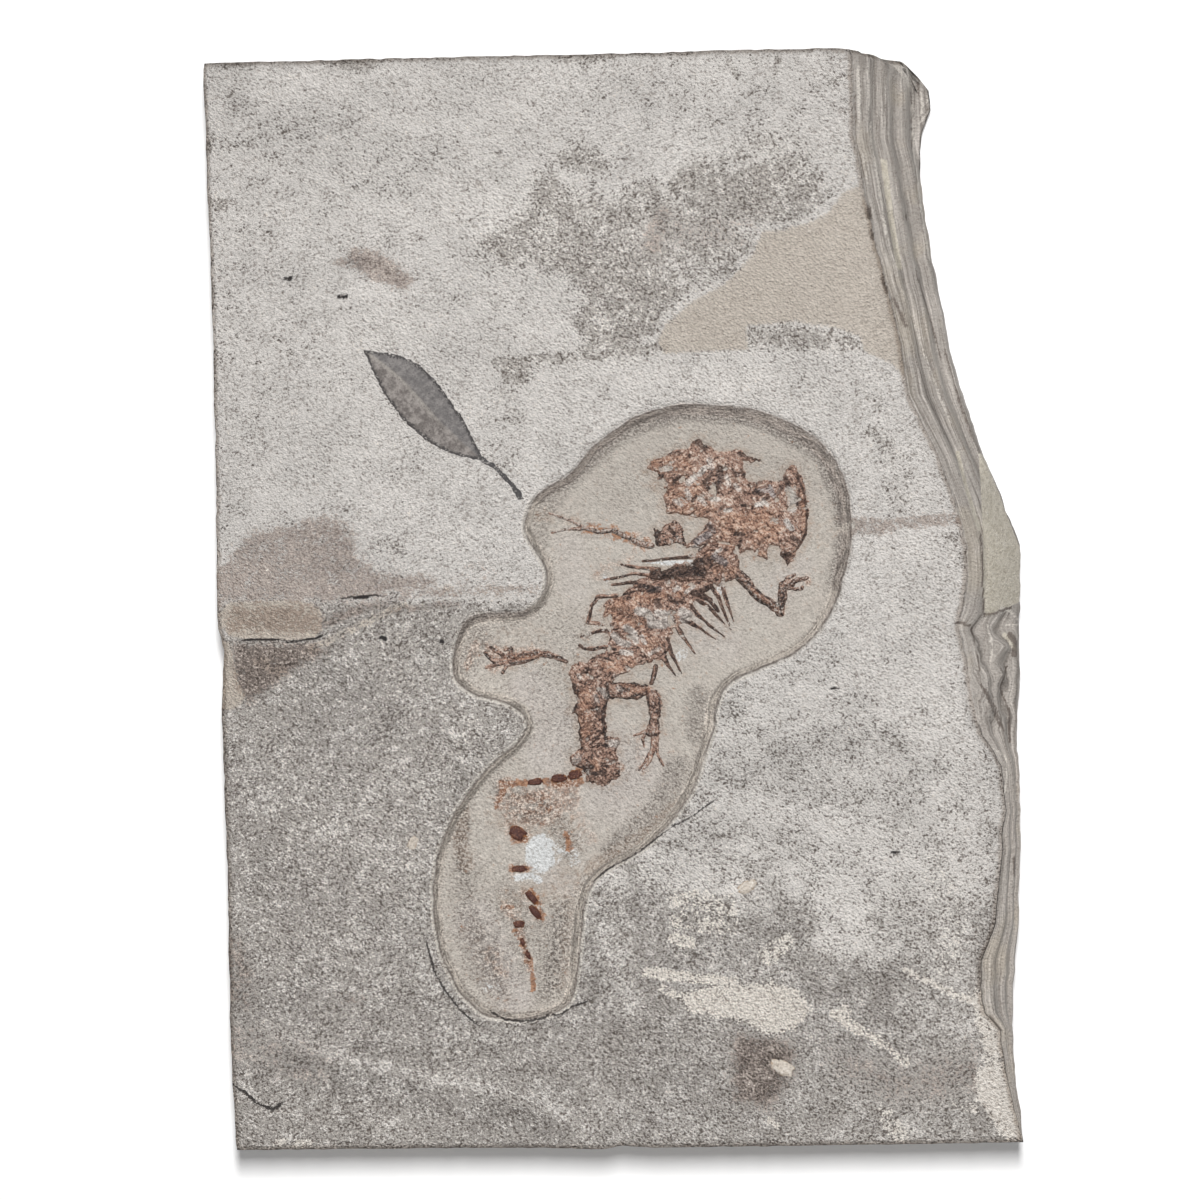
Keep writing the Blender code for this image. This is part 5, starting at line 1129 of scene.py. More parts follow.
# %% Gather everything the limestone material reads
BEDS = 13.0  # counted from the face down the broken side
on_side = out_share > 0.0
wall_share = (1.0 - ramp(rim_depth - wall, -0.2, 0.5)) * ramp(rim_depth, -0.25, 0.1)
stain = np.maximum(marks(gx, gy, BROWN_FLOOR), 0.62 * halo)
slab_values = {
    "film": film, "brown": marks(gx, gy, BROWN) * on_face, "tan": marks(gx, gy, TAN) * on_face,
    "cream": marks(gx, gy, CREAM) * on_face, "shade": shade * on_face,
    "black": marks(gx, gy, BLACK), "crack_gap": crack_gap, "crack_width": crack_width * on_face,
    "floor": in_hollow, "milky": milky * in_hollow, "grey_floor": grey_floor,
    "speckled": speckled, "stain": stain * in_hollow, "rim": np.clip(rim_depth, -8.0, 8.0),
    "painted_wall_shade": painted_wall_shade, "wall": wall_share * on_face, "side": ramp(out_share, 0.0, 0.03),
    "worn": 1.0 - ramp(edge_gap, 0.1, 1.0), "bed": BEDS * bed_share(gy, out_share * bed_scale),
    "side_tan": marks(gx, gy, SIDE_TAN) * on_side, "side_plain": marks(gx, gy, SIDE_PLAIN),
    "side_painted_highlight": marks(gx, gy, SIDE_PAINTED_HIGHLIGHT) * on_side, "side_painted_shade": marks(gx, gy, SIDE_PAINTED_SHADE),
    "crumbs": marks(gx, gy, CRUMBS) * in_hollow, "rust": marks(gx, gy, RUST_FLOOR) * in_hollow}
rest = {"film": 0.3, "crack_gap": 9.0, "side": 1.0, "worn": 0.3, "rim": -8.0, "side_plain": 0.4}
extra = len(slab_points) - gx.size
rest["bed"] = np.concatenate((BEDS + wall_z.ravel(), np.zeros(extra - wall_z.size)))
slab_values = {label: np.concatenate((value.ravel(), rest.get(label, 0.0) * np.ones(extra)))
               for label, value in slab_values.items()}
print("tones on the slab:", ", ".join(slab_values))

# %% [markdown]
# ## Shader tools and shared effects
#
# Every finish here is grainy stone or something that became stone, so they share three effects:
# the grain of the limestone, an edge between two tones broken up by that grain, and scattered
# specks. Each is a node group that is built once and placed in a material with its own values.
# All patterns read Object coordinates in millimetres, and the listed patches come from the
# mesh's own attributes.

# %% Short ways to add nodes


def add(tree, kind, **settings):
    """A new shader node with its settings."""
    made = tree.nodes.new("ShaderNode" + kind)
    for setting, value in settings.items():
        setattr(made, setting, value)
    return made


def feed(tree, value, socket):
    """Links an output to the socket, or sets the socket to a number or a colour."""
    if isinstance(value, bpy.types.NodeSocket):
        tree.links.new(value, socket)
    else:
        socket.default_value = value


def calc(tree, operation, *values, clamp=False):
    """One step of arithmetic on outputs or numbers."""
    made = add(tree, "Math", operation=operation, use_clamp=clamp)
    for socket, value in zip(made.inputs, values):
        feed(tree, value, socket)
    return made.outputs[0]


def times(tree, first, second):
    """The product of two outputs or numbers."""
    return calc(tree, "MULTIPLY", first, second)


def times_add(tree, first, second, third):
    """The product of the first two, plus the third."""
    return calc(tree, "MULTIPLY_ADD", first, second, third)


def off_half(tree, value):
    """How far a value lies above one half."""
    return calc(tree, "SUBTRACT", value, 0.5)


def spread(tree, value, low, high, to_low=0.0, to_high=1.0):
    """The smooth curve from to_low to to_high as value goes from low to high."""
    made = add(tree, "MapRange", interpolation_type="SMOOTHSTEP")
    for socket, number_or_output in zip(made.inputs, (value, low, high, to_low, to_high)):
        feed(tree, number_or_output, socket)
    return made.outputs["Result"]


def band(tree, value, middle, width):
    """1 where value is near middle, fading out over width."""
    off = calc(tree, "ABSOLUTE", calc(tree, "SUBTRACT", value, middle))
    return spread(tree, off, 0.3 * width, width, 1.0, 0.0)


helpers = (calc, times, times_add, off_half, spread, band)
print("arithmetic for shaders:", ", ".join(helper.__name__ for helper in helpers))

# %% Short ways to mix colours


def colour(red, green, blue):
    """A colour given as 0 to 255 on a screen, as the linear numbers that shaders use."""
    value = np.array((red, green, blue)) / 255.0
    linear = np.where(value <= 0.04045, value / 12.92, ((value + 0.055) / 1.055) ** 2.4)
    return (*(float(part) for part in linear), 1.0)


def mix(tree, share, first, second, mode="MIX"):
    """The first colour where share is 0 and the second where it is 1.

    A colour is an output, or its three numbers from 0 to 255.
    """
    made = add(tree, "Mix", data_type="RGBA", blend_type=mode)
    feed(tree, share, made.inputs[0])
    for socket, tone in ((made.inputs[6], first), (made.inputs[7], second)):
        feed(tree, colour(*tone) if isinstance(tone, tuple) else tone, socket)
    return made.outputs[2]


def cover(tree, under, top, share, strength):
    """The top colour laid over the one under it, as far as share times strength."""
    return mix(tree, times(tree, share, strength), under, top)


def tinted(tree, share, under, tint):
    """A colour multiplied by a tint, as far as share says."""
    return mix(tree, share, under, mix(tree, 1.0, under, tint, "MULTIPLY"))


def dimmed(tree, under, factor):
    """A colour made darker or lighter by a factor."""
    grey = add(tree, "CombineColor")
    for socket in grey.inputs:
        feed(tree, factor, socket)
    return mix(tree, 1.0, under, grey.outputs[0], "MULTIPLY")


def toned(tree, under, *curve_values):
    """A colour made darker or lighter by the factor that spread gives for the values."""
    return dimmed(tree, under, spread(tree, *curve_values))
# Weight of a mark, 1 in it and 0 outside, over a soft edge.


print("mid grey in linear numbers:", np.round(colour(128, 128, 128), 3))

# %% Places, patterns and attributes


def attribute(tree, name):
    """A value that the mesh carries at each of its points."""
    return add(tree, "Attribute", attribute_type="GEOMETRY", attribute_name=name).outputs["Fac"]


def millimetres(tree):
    """Object coordinates in mm."""
    scaled = add(tree, "VectorMath", operation="SCALE")
    tree.links.new(add(tree, "TexCoord").outputs["Object"], scaled.inputs[0])
    scaled.inputs["Scale"].default_value = 1.0 / MM
    return scaled.outputs[0]


def pair(tree, first, second):
    """Two numbers as a place for a pattern."""
    joined = add(tree, "CombineXYZ")
    for socket, value in zip(joined.inputs, (first, second, 0.0)):
        feed(tree, value, socket)
    return joined.outputs[0]


def field(tree, place, scale, detail=2.0, roughness=0.6, distortion=0.0):
    """Fractal noise around one half, with scale in bumps per mm."""
    made = add(tree, "TexNoise", normalize=True)
    for name, value in (("Vector", place), ("Scale", scale), ("Detail", detail), ("Roughness", roughness),
                        ("Distortion", distortion)):
        feed(tree, value, made.inputs[name])
    return made.outputs["Fac"]


def stretched(tree, place, turn, size):
    """The place turned about Z by turn in degrees and stretched, for a pattern with a direction."""
    made = add(tree, "Mapping", vector_type="TEXTURE")
    feed(tree, place, made.inputs["Vector"])
    made.inputs["Rotation"].default_value = (0.0, 0.0, np.radians(turn))
    made.inputs["Scale"].default_value = size
    return made.outputs["Vector"]


print(f"patterns read Object coordinates times {1.0 / MM:.0f}")

# %% Build the shared effects
GRAINS = ("Fine", "Medium", "Patchy", "Coarse", "Dashes")


def group(name, inputs, outputs):
    """A new shader group; gives its tree, its input sockets and its output sockets."""
    tree = bpy.data.node_groups.new(name, "ShaderNodeTree")
    for label, default in inputs.items():
        kind = "NodeSocketVector" if default is None else "NodeSocketFloat"
        made = tree.interface.new_socket(label, in_out="INPUT", socket_type=kind)
        if default is not None:
            made.default_value = default
    for label in outputs:
        tree.interface.new_socket(label, in_out="OUTPUT", socket_type="NodeSocketFloat")
    return tree, tree.nodes.new("NodeGroupInput").outputs, tree.nodes.new("NodeGroupOutput").inputs


GRAIN, given, out = group("Limestone Grain", {"Place": None}, GRAINS)
for label, settings in (("Fine", (2.5, 2.0, 0.7)), ("Medium", (0.85, 4.0, 0.68)),
                        ("Patchy", (0.26, 5.0, 0.64, 0.4)), ("Coarse", (0.075, 3.0, 0.6))):
    feed(GRAIN, field(GRAIN, given["Place"], *settings), out[label])
# The flat grains lie one way in the west of the slab and another way in the east.
west_dashes = field(GRAIN, stretched(GRAIN, given["Place"], 38.0, (1.6, 1.0, 1.0)), 2.5, 2.0, 0.65)
east_dashes = field(GRAIN, stretched(GRAIN, given["Place"], -30.0, (1.25, 1.0, 1.0)), 2.4, 2.0, 0.65)
either = spread(GRAIN, field(GRAIN, given["Place"], 0.03, 1.0), 0.45, 0.55)
blended = add(GRAIN, "Mix", data_type="FLOAT")
for index, value in ((0, either), (2, west_dashes), (3, east_dashes)):
    feed(GRAIN, value, blended.inputs[index])
feed(GRAIN, blended.outputs[0], out["Dashes"])

WORN_EDGE, given, out = group("Grain Worn Edge", {"Amount": 0.5, "Grain": 0.5, "Raggedness": 1.0,
                                                 "Softness": 0.2}, ("Mask",))
rough_amount = times_add(WORN_EDGE, off_half(WORN_EDGE, given["Grain"]), given["Raggedness"],
                         given["Amount"])
feed(WORN_EDGE, spread(WORN_EDGE, rough_amount, calc(WORN_EDGE, "SUBTRACT", 0.5, given["Softness"]),
                       calc(WORN_EDGE, "ADD", 0.5, given["Softness"])), out["Mask"])

SPECKS, given, out = group("Scattered Specks", {"Place": None, "Per mm": 0.6, "Size": 0.3, "Share": 0.5},
                           ("Mask",))
cells = add(SPECKS, "TexVoronoi", feature="F1")
feed(SPECKS, given["Place"], cells.inputs["Vector"])
feed(SPECKS, given["Per mm"], cells.inputs["Scale"])
lot_of_cell = add(SPECKS, "SeparateColor")
feed(SPECKS, cells.outputs["Color"], lot_of_cell.inputs[0])
chosen = calc(SPECKS, "LESS_THAN", lot_of_cell.outputs[0], given["Share"])
own_size = times(SPECKS, given["Size"], calc(SPECKS, "ADD", 0.4, lot_of_cell.outputs[1]))
near_middle = spread(SPECKS, cells.outputs["Distance"], times(SPECKS, own_size, 0.5), own_size, 1.0, 0.0)
feed(SPECKS, times(SPECKS, chosen, near_middle), out["Mask"])
print("shared effects:", [shared.name for shared in bpy.data.node_groups])

# %% Place a shared effect in a material


def use(tree, shared, **values):
    """Places a shared group with its values; gives its outputs."""
    made = add(tree, "Group", node_tree=shared)
    for label, value in values.items():
        feed(tree, value, made.inputs[label.replace("_", " ")])
    return made.outputs


def ragged(tree, amount, grain, raggedness, softness):
    """Where amount passes one half, along an edge broken up by the grain."""
    return use(tree, WORN_EDGE, Amount=amount, Grain=grain, Raggedness=raggedness,
               Softness=softness)["Mask"]


def edged(tree, name, raggedness, softness, grain):
    """The same for an amount that the mesh carries."""
    return ragged(tree, attribute(tree, name), grain, raggedness, softness)


def begin(name):
    """A new material; gives it with its tree, its shader, the place in mm and the grain there."""
    made = bpy.data.materials.new(name)
    made.use_nodes = True
    tree = made.node_tree
    place = millimetres(tree)
    return made, tree, tree.nodes["Principled BSDF"], place, use(tree, GRAIN, Place=place)


def bumped(tree, shader, height, distance):
    """Bumps the surface by height, full height being distance in mm; gives the new normal."""
    bump = add(tree, "Bump")
    bump.inputs["Distance"].default_value = distance * MM
    feed(tree, height, bump.inputs["Height"])
    feed(tree, bump.outputs["Normal"], shader.inputs["Normal"])
    return bump.outputs["Normal"]


def painted_lamp_light(tree, normal, toward, strength):
    """A factor for painted highlight on slopes that face one way and painted shade on those facing away: 1
    plus strength times the lean.
    """
    lean = add(tree, "VectorMath", operation="DOT_PRODUCT")
    feed(tree, normal, lean.inputs[0])
    lean.inputs[1].default_value = toward
    return times_add(tree, lean.outputs["Value"], strength, 1.0)


print("grains to choose from:", ", ".join(GRAINS))

# %% [markdown]
# ## The face of the limestone
#
# Under a pale chalky film the stone is grey and full of fine grains. The film could be one noise
# texture, but then it would lie anywhere. Here the mesh says how much film a place has, and the
# grain decides which of the specks there keep it, so the film looks speckled where it is thin.
# Tan scars, brown stains and cream crusts lie over it in the same way.

# %% Colour the face
GREY_STONE, CHALK = (173, 167, 161), (219, 214, 209)


def face_tones(tree, grain):
    """Colour of the face, its film, tan and cream masks, and two blends of the grain."""
    fine, medium, patchy, coarse, dashes = (grain[name] for name in GRAINS)
    patches = times_add(tree, fine, 0.40, times(tree, medium, 0.37))
    patches = times_add(tree, patchy, 0.23, patches)
    filmed = edged(tree, "film", 5.0, 0.09, patches)
    thick = spread(tree, attribute(tree, "film"), 0.2, 0.9, 0.45, 1.0)
    flecks = times_add(tree, fine, 0.45, times(tree, medium, 0.55))
    flecks = spread(tree, times_add(tree, off_half(tree, patchy), 0.3, flecks), 0.550, 0.575)
    covered = calc(tree, "MAXIMUM", times(tree, filmed, thick), times(tree, flecks, 0.95))
    face = mix(tree, covered, GREY_STONE, CHALK)
    face = toned(tree, face, coarse, 0.3, 0.7, 0.94, 1.04)
    face = toned(tree, face, patchy, 0.35, 0.65, 0.95, 1.04)
    face = toned(tree, face, attribute(tree, "shade"), -0.5, 0.5, 0.88, 1.12)
    grains = times_add(tree, patches, 0.7, times(tree, dashes, 0.3))
    tan_tone = mix(tree, spread(tree, dashes, 0.3, 0.7), (190, 178, 165), (207, 196, 183))
    tan = edged(tree, "tan", 3.0, 0.2, grains)
    face = cover(tree, face, tan_tone, tan, 0.8)
    brown_tint = mix(tree, spread(tree, patches, 0.42, 0.56), (170, 160, 156), (218, 209, 204))
    face = tinted(tree, edged(tree, "brown", 4.4, 0.1, patches), face, brown_tint)
    cream_tone = mix(tree, spread(tree, fine, 0.35, 0.6), (220, 211, 201), (238, 231, 222))
    cream = edged(tree, "cream", 4.2, 0.06, patches)
    return cover(tree, face, cream_tone, cream, 0.9), filmed, tan, cream, patches, grains


print("grey stone", np.round(colour(*GREY_STONE)[:3], 2), "under chalk", np.round(colour(*CHALK)[:3], 2))

# %% [markdown]
# ## The hollow of the limestone
#
# The bed of the hollow is smooth and warm, greyer and speckled in places, stained round the
# bones, with crumbs and rusty dots where the tail has fallen apart. The wall round it is fresh
# stone with the fine lines of the knife. Noise stretched along the rim draws those lines: it
# reads the depth inside the rim one way, and the place along the rim only a little. The wall is
# painted darker, as shade, where it looks away from the lamp and paler, as if lit, where it faces it.
# The painted shade also darkens the bed at its foot, and the rim gets a painted highlight outside
# it and a painted shade line inside it.

# %% Colour the bed, the wall and the rim
HATCH_ACROSS, HATCH_ALONG = 1.2, 0.14  # bumps per mm across the rim and along it


def bed_tones(tree, grain, patches):
    """Colour of the bed: sandy stone, then its specks, stains, milky patch, rust and crumbs."""
    fine, medium, patchy, _, dashes = (grain[name] for name in GRAINS)
    sandy = mix(tree, spread(tree, patchy, 0.35, 0.65), (193, 186, 177), (188, 180, 171))
    bed = cover(tree, sandy, (196, 188, 182), attribute(tree, "grey_floor"), 0.8)
    streaks = times_add(tree, dashes, 0.5, times(tree, medium, 0.5))
    bed = toned(tree, bed, streaks, 0.38, 0.60, 0.89, 1.06)
    stained = edged(tree, "stain", 2.0, 0.35, medium)
    dark_speck = mix(tree, stained, (100, 92, 86), (98, 78, 62))
    speckle_tone = mix(tree, spread(tree, fine, 0.42, 0.56), dark_speck, (184, 176, 168))
    mottle = times_add(tree, fine, 0.5, times_add(tree, dashes, 0.3, times(tree, patchy, 0.2)))
    bed = cover(tree, bed, (156, 134, 116), stained, 0.45)
    bed = cover(tree, bed, speckle_tone, edged(tree, "speckled", 3.6, 0.4, mottle), 0.7)
    milk_tone = mix(tree, spread(tree, fine, 0.4, 0.6), (208, 210, 210), (224, 227, 228))
    bed = cover(tree, bed, milk_tone, edged(tree, "milky", 3.2, 0.16, patches), 0.8)
    rust_tone = mix(tree, spread(tree, medium, 0.35, 0.65), (112, 70, 48), (172, 122, 86))
    bed = cover(tree, bed, rust_tone, edged(tree, "rust", 2.4, 0.22, medium), 0.85)
    crumbs = ragged(tree, times(tree, attribute(tree, "crumbs"), 0.72), patches, 3.4, 0.3)
    crumb_tone = mix(tree, spread(tree, fine, 0.42, 0.50), (98, 68, 54), (168, 134, 114))
    crumb_tone = mix(tree, spread(tree, fine, 0.53, 0.58), crumb_tone, (214, 200, 188))
    return cover(tree, bed, crumb_tone, crumbs, 0.8)


def hollow_tones(tree, grain, face, bed, is_floor, round_rim):
    """The face with the bed and its hatched wall set into it, painted shade on the wall and the bed at its
    foot where the wall looks away from the lamp, and the rim's painted highlight and painted shade line.
    """
    fine, medium = grain["Fine"], grain["Medium"]
    rim = attribute(tree, "rim")
    hatch_place = pair(tree, times(tree, rim, HATCH_ACROSS), times(tree, round_rim, HATCH_ALONG))
    hatch = field(tree, hatch_place, 1.0, 3.0, 0.8)
    hatch = times_add(tree, hatch, 0.8, times(tree, fine, 0.2))
    # Painted shade: the wall is darker where it looks away from the lamp and paler where it faces it, and
    # the bed at its foot is darkened too.
    away = edged(tree, "painted_wall_shade", 0.8, 0.35, medium)
    cut = mix(tree, away, (194, 185, 175), (166, 156, 148))
    cut = toned(tree, cut, hatch, 0.42, 0.58, 0.58, 1.36)
    shade_at_wall_foot = times(tree, away, spread(tree, rim, 1.0, 5.0, 0.85, 0.0))
    shade_at_wall_foot = times(tree, shade_at_wall_foot, spread(tree, hatch, 0.42, 0.50, 1.0, 0.0))
    bed = mix(tree, shade_at_wall_foot, bed, (140, 132, 126))
    bed = cover(tree, bed, cut, edged(tree, "wall", 1.6, 0.4, fine), 0.92)
    stone = mix(tree, is_floor, face, bed)
    # A painted highlight just outside the rim where the wall faces the lamp, and a painted shade line just
    # inside the rim.
    lit_edge = times(tree, band(tree, rim, -0.28, 0.34), calc(tree, "SUBTRACT", 1.0, away))
    stone = cover(tree, stone, (224, 217, 208), lit_edge, 0.8)
    rim_shade_line = times(tree, band(tree, rim, 0.2, 0.26), spread(tree, medium, 0.3, 0.55))
    return cover(tree, stone, (104, 94, 87), rim_shade_line, 0.7)


print(f"lines of the knife {1.0 / HATCH_ALONG:.0f} mm long and {1.0 / HATCH_ACROSS:.1f} mm apart")

# %% [markdown]
# ## The broken side and the edges
#
# Here the beds show edge on, as long lines of slightly different greys. The mesh carries the
# number of the bed at each point, so noise that reads this number across and the height up the
# slab only a little gives lines that follow every step and curve of the side.

# %% Colour the broken side
BED_ALONG = 0.034  # changes of a bed per mm along the side


def side_tones(tree, grain, grains, y_mm):
    """Colour of beds seen edge on, with pale lines, dark seams and smooth tan scars."""
    medium, coarse = grain["Medium"], grain["Coarse"]
    bed_place = pair(tree, attribute(tree, "bed"), times(tree, y_mm, BED_ALONG))
    beds = field(tree, bed_place, 1.0, 4.0, 0.68)
    strength = calc(tree, "SUBTRACT", 1.0, times(tree, attribute(tree, "side_plain"), 0.72))
    tone = times_add(tree, off_half(tree, beds), times(tree, strength, 1.9), 0.46)
    tone = calc(tree, "MULTIPLY", tone, 1.0, clamp=True)
    layered = mix(tree, tone, (139, 132, 125), (200, 193, 186))
    layered = mix(tree, spread(tree, coarse, 0.5, 0.66, 0.0, 0.4), layered, (186, 175, 158))
    lines = field(tree, bed_place, 2.6, 3.0, 0.6)
    layered = toned(tree, layered, lines, 0.38, 0.62, 0.84, 1.14)
    layered = toned(tree, layered, y_mm, -30.0, -14.0, 1.11, 1.0)
    pale_lines = times(tree, spread(tree, lines, 0.60, 0.64), spread(tree, medium, 0.38, 0.5))
    layered = cover(tree, layered, (216, 209, 202), pale_lines, 0.7)
    seams = times(tree, band(tree, beds, 0.44, 0.03), strength)
    layered = cover(tree, layered, (108, 100, 94), seams, 0.5)
    scar = mix(tree, spread(tree, medium, 0.34, 0.62), (188, 180, 164), (210, 203, 189))
    scar = mix(tree, spread(tree, grains, 0.57, 0.62), scar, (218, 213, 204))
    return cover(tree, layered, scar, edged(tree, "side_tan", 0.5, 0.12, medium), 0.9)


print(f"a bed keeps its grey for about {1.0 / BED_ALONG:.0f} mm")

# %% [markdown]
# ## Pores, grains, painted light and cracks
#
# Over all of it lie dark pores and light grains, denser where the film is gone. They are finer
# than the mesh, so a bump gives them their relief, and the side of each grain that faces the lamp
# gets a painted highlight, the other side painted shade. A crack is drawn where the distance to
# its line, which the mesh carries with the side as its sign, is less than its own width.

# %% Colour the grit and the cracks
LAMP_SIDE = (0.45, 0.89, 0.0)  # the direction that gets the painted highlight


def grit_tones(tree, grain, place, bare, tan, is_floor, side):
    """Factor for light grains, pores and pits, the pores alone, and how gritty a place is."""
    fine, _, patchy, _, dashes = (grain[name] for name in GRAINS)
    on_face = calc(tree, "SUBTRACT", 1.0, calc(tree, "MAXIMUM", is_floor, side))
    gritty = calc(tree, "MAXIMUM", times(tree, attribute(tree, "wall"), 0.5),
                  times(tree, attribute(tree, "speckled"), 0.9))
    gritty = times_add(tree, gritty, 0.75, times(tree, is_floor, 0.25))
    gritty = calc(tree, "MAXIMUM", on_face, gritty)
    grit = times_add(tree, fine, 0.5, times(tree, dashes, 0.5))
    clustered = times_add(tree, off_half(tree, patchy), 0.10, grit)
    deep = times_add(tree, times_add(tree, bare, 0.27, 0.25), gritty, 0.06)
    deep = times(tree, deep, times_add(tree, tan, -0.7, 1.0))
    pores = times(tree, spread(tree, clustered, 0.415, 0.465, 1.0, 0.0), deep)
    bright = times_add(tree, times_add(tree, bare, 0.34, 0.12), gritty, 0.06)
    bright = times(tree, bright, times_add(tree, tan, -0.6, 1.0))
    speckle = times_add(tree, spread(tree, grit, 0.535, 0.585), bright, 1.0)
    speckle = calc(tree, "SUBTRACT", speckle, pores)
    pits = use(tree, SPECKS, Place=place, Per_mm=1.1, Size=0.26, Share=0.3)["Mask"]
    return times(tree, speckle, spread(tree, pits, 0.0, 1.0, 1.0, 0.84)), pores, gritty


def cracked(tree, grain, stone):
    """The stone with its cracks, whose width changes with the grain and whose line trembles."""
    own_width = spread(tree, grain["Medium"], 0.34, 0.54, 0.3, 1.5)
    own_width = times(tree, attribute(tree, "crack_width"), own_width)
    off_crack = times_add(tree, off_half(tree, grain["Fine"]), 0.9, attribute(tree, "crack_gap"))
    inside = calc(tree, "SUBTRACT", own_width, calc(tree, "ABSOLUTE", off_crack))
    return cover(tree, stone, (46, 41, 40), spread(tree, inside, -0.03, 0.05), 0.92)


print("cracks to draw:", len(CRACKS))

# %% Make the limestone


def limestone():
    """Face, hollow and broken side, then worn edges, pores, grains with painted light on their slopes,
    black marks and cracks.
    """
    made, tree, shader, place, grain = begin("limestone")
    fine, medium, dashes = grain["Fine"], grain["Medium"], grain["Dashes"]
    is_floor, side = attribute(tree, "floor"), attribute(tree, "side")
    parts = add(tree, "SeparateXYZ")
    feed(tree, place, parts.inputs[0])
    x_mm, y_mm = parts.outputs[0], parts.outputs[1]

    face, filmed, tan, cream, patches, grains = face_tones(tree, grain)
    bed = bed_tones(tree, grain, patches)
    round_rim = calc(tree, "SUBTRACT", x_mm, y_mm)
    stone = hollow_tones(tree, grain, face, bed, is_floor, round_rim)
    stone = mix(tree, side, stone, side_tones(tree, grain, grains, y_mm))
    # Painted highlight on the ledges of the broken side, and painted shade in the slots below them.
    stone = cover(tree, stone, (220, 213, 204), edged(tree, "side_painted_highlight", 1.2, 0.2, fine), 0.75)
    stone = cover(tree, stone, (92, 80, 72), edged(tree, "side_painted_shade", 1.2, 0.2, fine), 0.75)

    bare = calc(tree, "SUBTRACT", 1.0, calc(tree, "MAXIMUM", filmed, cream))
    speckle, pores, gritty = grit_tones(tree, grain, place, bare, tan, is_floor, side)
    relief = times_add(tree, medium, 0.5, times_add(tree, fine, 0.8, dashes))
    normal = bumped(tree, shader, times(tree, relief, times_add(tree, gritty, 0.75, 0.25)), 0.6)
    # Painted light: slopes of the bumped grains that face the lamp are painted lighter, the others darker.
    tilt = add(tree, "VectorMath", operation="SUBTRACT")
    feed(tree, normal, tilt.inputs[0])
    feed(tree, add(tree, "TexCoord").outputs["Normal"], tilt.inputs[1])
    speckle = times(tree, speckle, painted_lamp_light(tree, tilt.outputs[0], LAMP_SIDE, 0.52))
    worn = times(tree, edged(tree, "worn", 1.8, 0.4, medium), 0.8)
    stone = tinted(tree, worn, stone, (205, 197, 190))
    stone = tinted(tree, pores, stone, (220, 200, 188))
    stone = dimmed(tree, stone, speckle)
    stone = mix(tree, edged(tree, "black", 0.9, 0.12, fine), stone, (52, 48, 47))
    feed(tree, cracked(tree, grain, stone), shader.inputs["Base Color"])
    feed(tree, spread(tree, filmed, 0.0, 1.0, 0.8, 0.92), shader.inputs["Roughness"])
    return made


slab = solid("limestone_slab", slab_points, slab_faces, slab_values)
dress(slab, "slab", limestone())

# %% [markdown]
# ## The leaf
#
# The leaf is a thin dark film of carbon, flush with the stone. Its blade is a sheet ruled
# between two drawn edges, with one parameter from the tip to the stalk and the other across.
# That gives a clean outline and a midrib that follows the blade, which a cut-out would not.

# %% Shape the leaf
LEAF_STALK = ((-24.1, 25.8), (-23.0, 24.9), (-21.6, 24.2), (-19.5, 22.1), (-17.7, 20.1), (-16.6, 18.2))
STALK_HALF = 0.44  # half its width in mm
LEAF_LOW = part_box("leaf")[0][2] / MM
BLADE_STEPS, STALK_STEPS, ACROSS_STEPS = 170, 50, 41
VEINS, VEIN_SLANT = 46.0, 2.1  # side veins, and how many of them one vein crosses on its way out


def evenly(path, count):
    """count places at even distances along a line."""
    path = np.asarray(path, float)
    run = np.concatenate(([0.0], np.cumsum(np.hypot(*np.diff(path, axis=0).T))))
    at = np.linspace(0.0, run[-1], count)
    return np.column_stack((np.interp(at, run, path[:, 0]), np.interp(at, run, path[:, 1])))


stalk = evenly(curve(LEAF_STALK, 6), STALK_STEPS)
heading = np.gradient(stalk, axis=0)
sideways = np.column_stack((-heading[:, 1], heading[:, 0])) / np.hypot(*heading.T)[:, None]
flare = 1.0 + 0.1 * ramp(np.linspace(0.0, 1.0, STALK_STEPS), 0.85, 1.0)[:, None]
half_stalk = sideways[1:] * STALK_HALF * flare[1:]
upper = np.vstack((evenly(curve(LEAF_UPPER, 6), BLADE_STEPS), stalk[1:] + half_stalk))[1:]
lower = np.vstack((evenly(curve(LEAF_LOWER, 6), BLADE_STEPS), stalk[1:] - half_stalk))[1:]

across = np.linspace(-1.0, 1.0, ACROSS_STEPS)[None, :]
off_middle = np.abs(across)
straight = 0.5 * (lower[:, None] * (1.0 - across[..., None]) + upper[:, None] * (1.0 + across[..., None]))
half_width = 0.5 * np.hypot(*(upper - lower).T)[:, None]
leaf_x, leaf_y = (
    straight[..., axis] + 0.15 * rough(straight[..., 0], straight[..., 1], 0.6, seed) * off_middle
    for axis, seed in ((0, 61), (1, 63)))
length_share = np.linspace(0.0, 1.0, len(upper))[:, None] * np.ones_like(across)
off_rib = off_middle * half_width
blade_only = 1.0 - ramp(length_share, 0.7, 0.78)
midrib = (1.0 - ramp(off_rib, 0.1, 0.42)) * blade_only
vein_phase = (length_share * VEINS - off_middle * VEIN_SLANT) % 1.0
side_veins = (1.0 - ramp(np.abs(vein_phase - 0.5), 0.03, 0.16)) * blade_only * ramp(off_rib, 0.3, 0.8)
rolled = ramp(off_middle * np.ones_like(half_width), 0.86, 1.0)
wrinkles = 0.03 * rough(leaf_x, leaf_y, 2.2, 65)
leaf_z = face_height(leaf_x, leaf_y) + 0.05 + 0.05 * midrib + 0.012 * side_veins + wrinkles - 0.05 * rolled
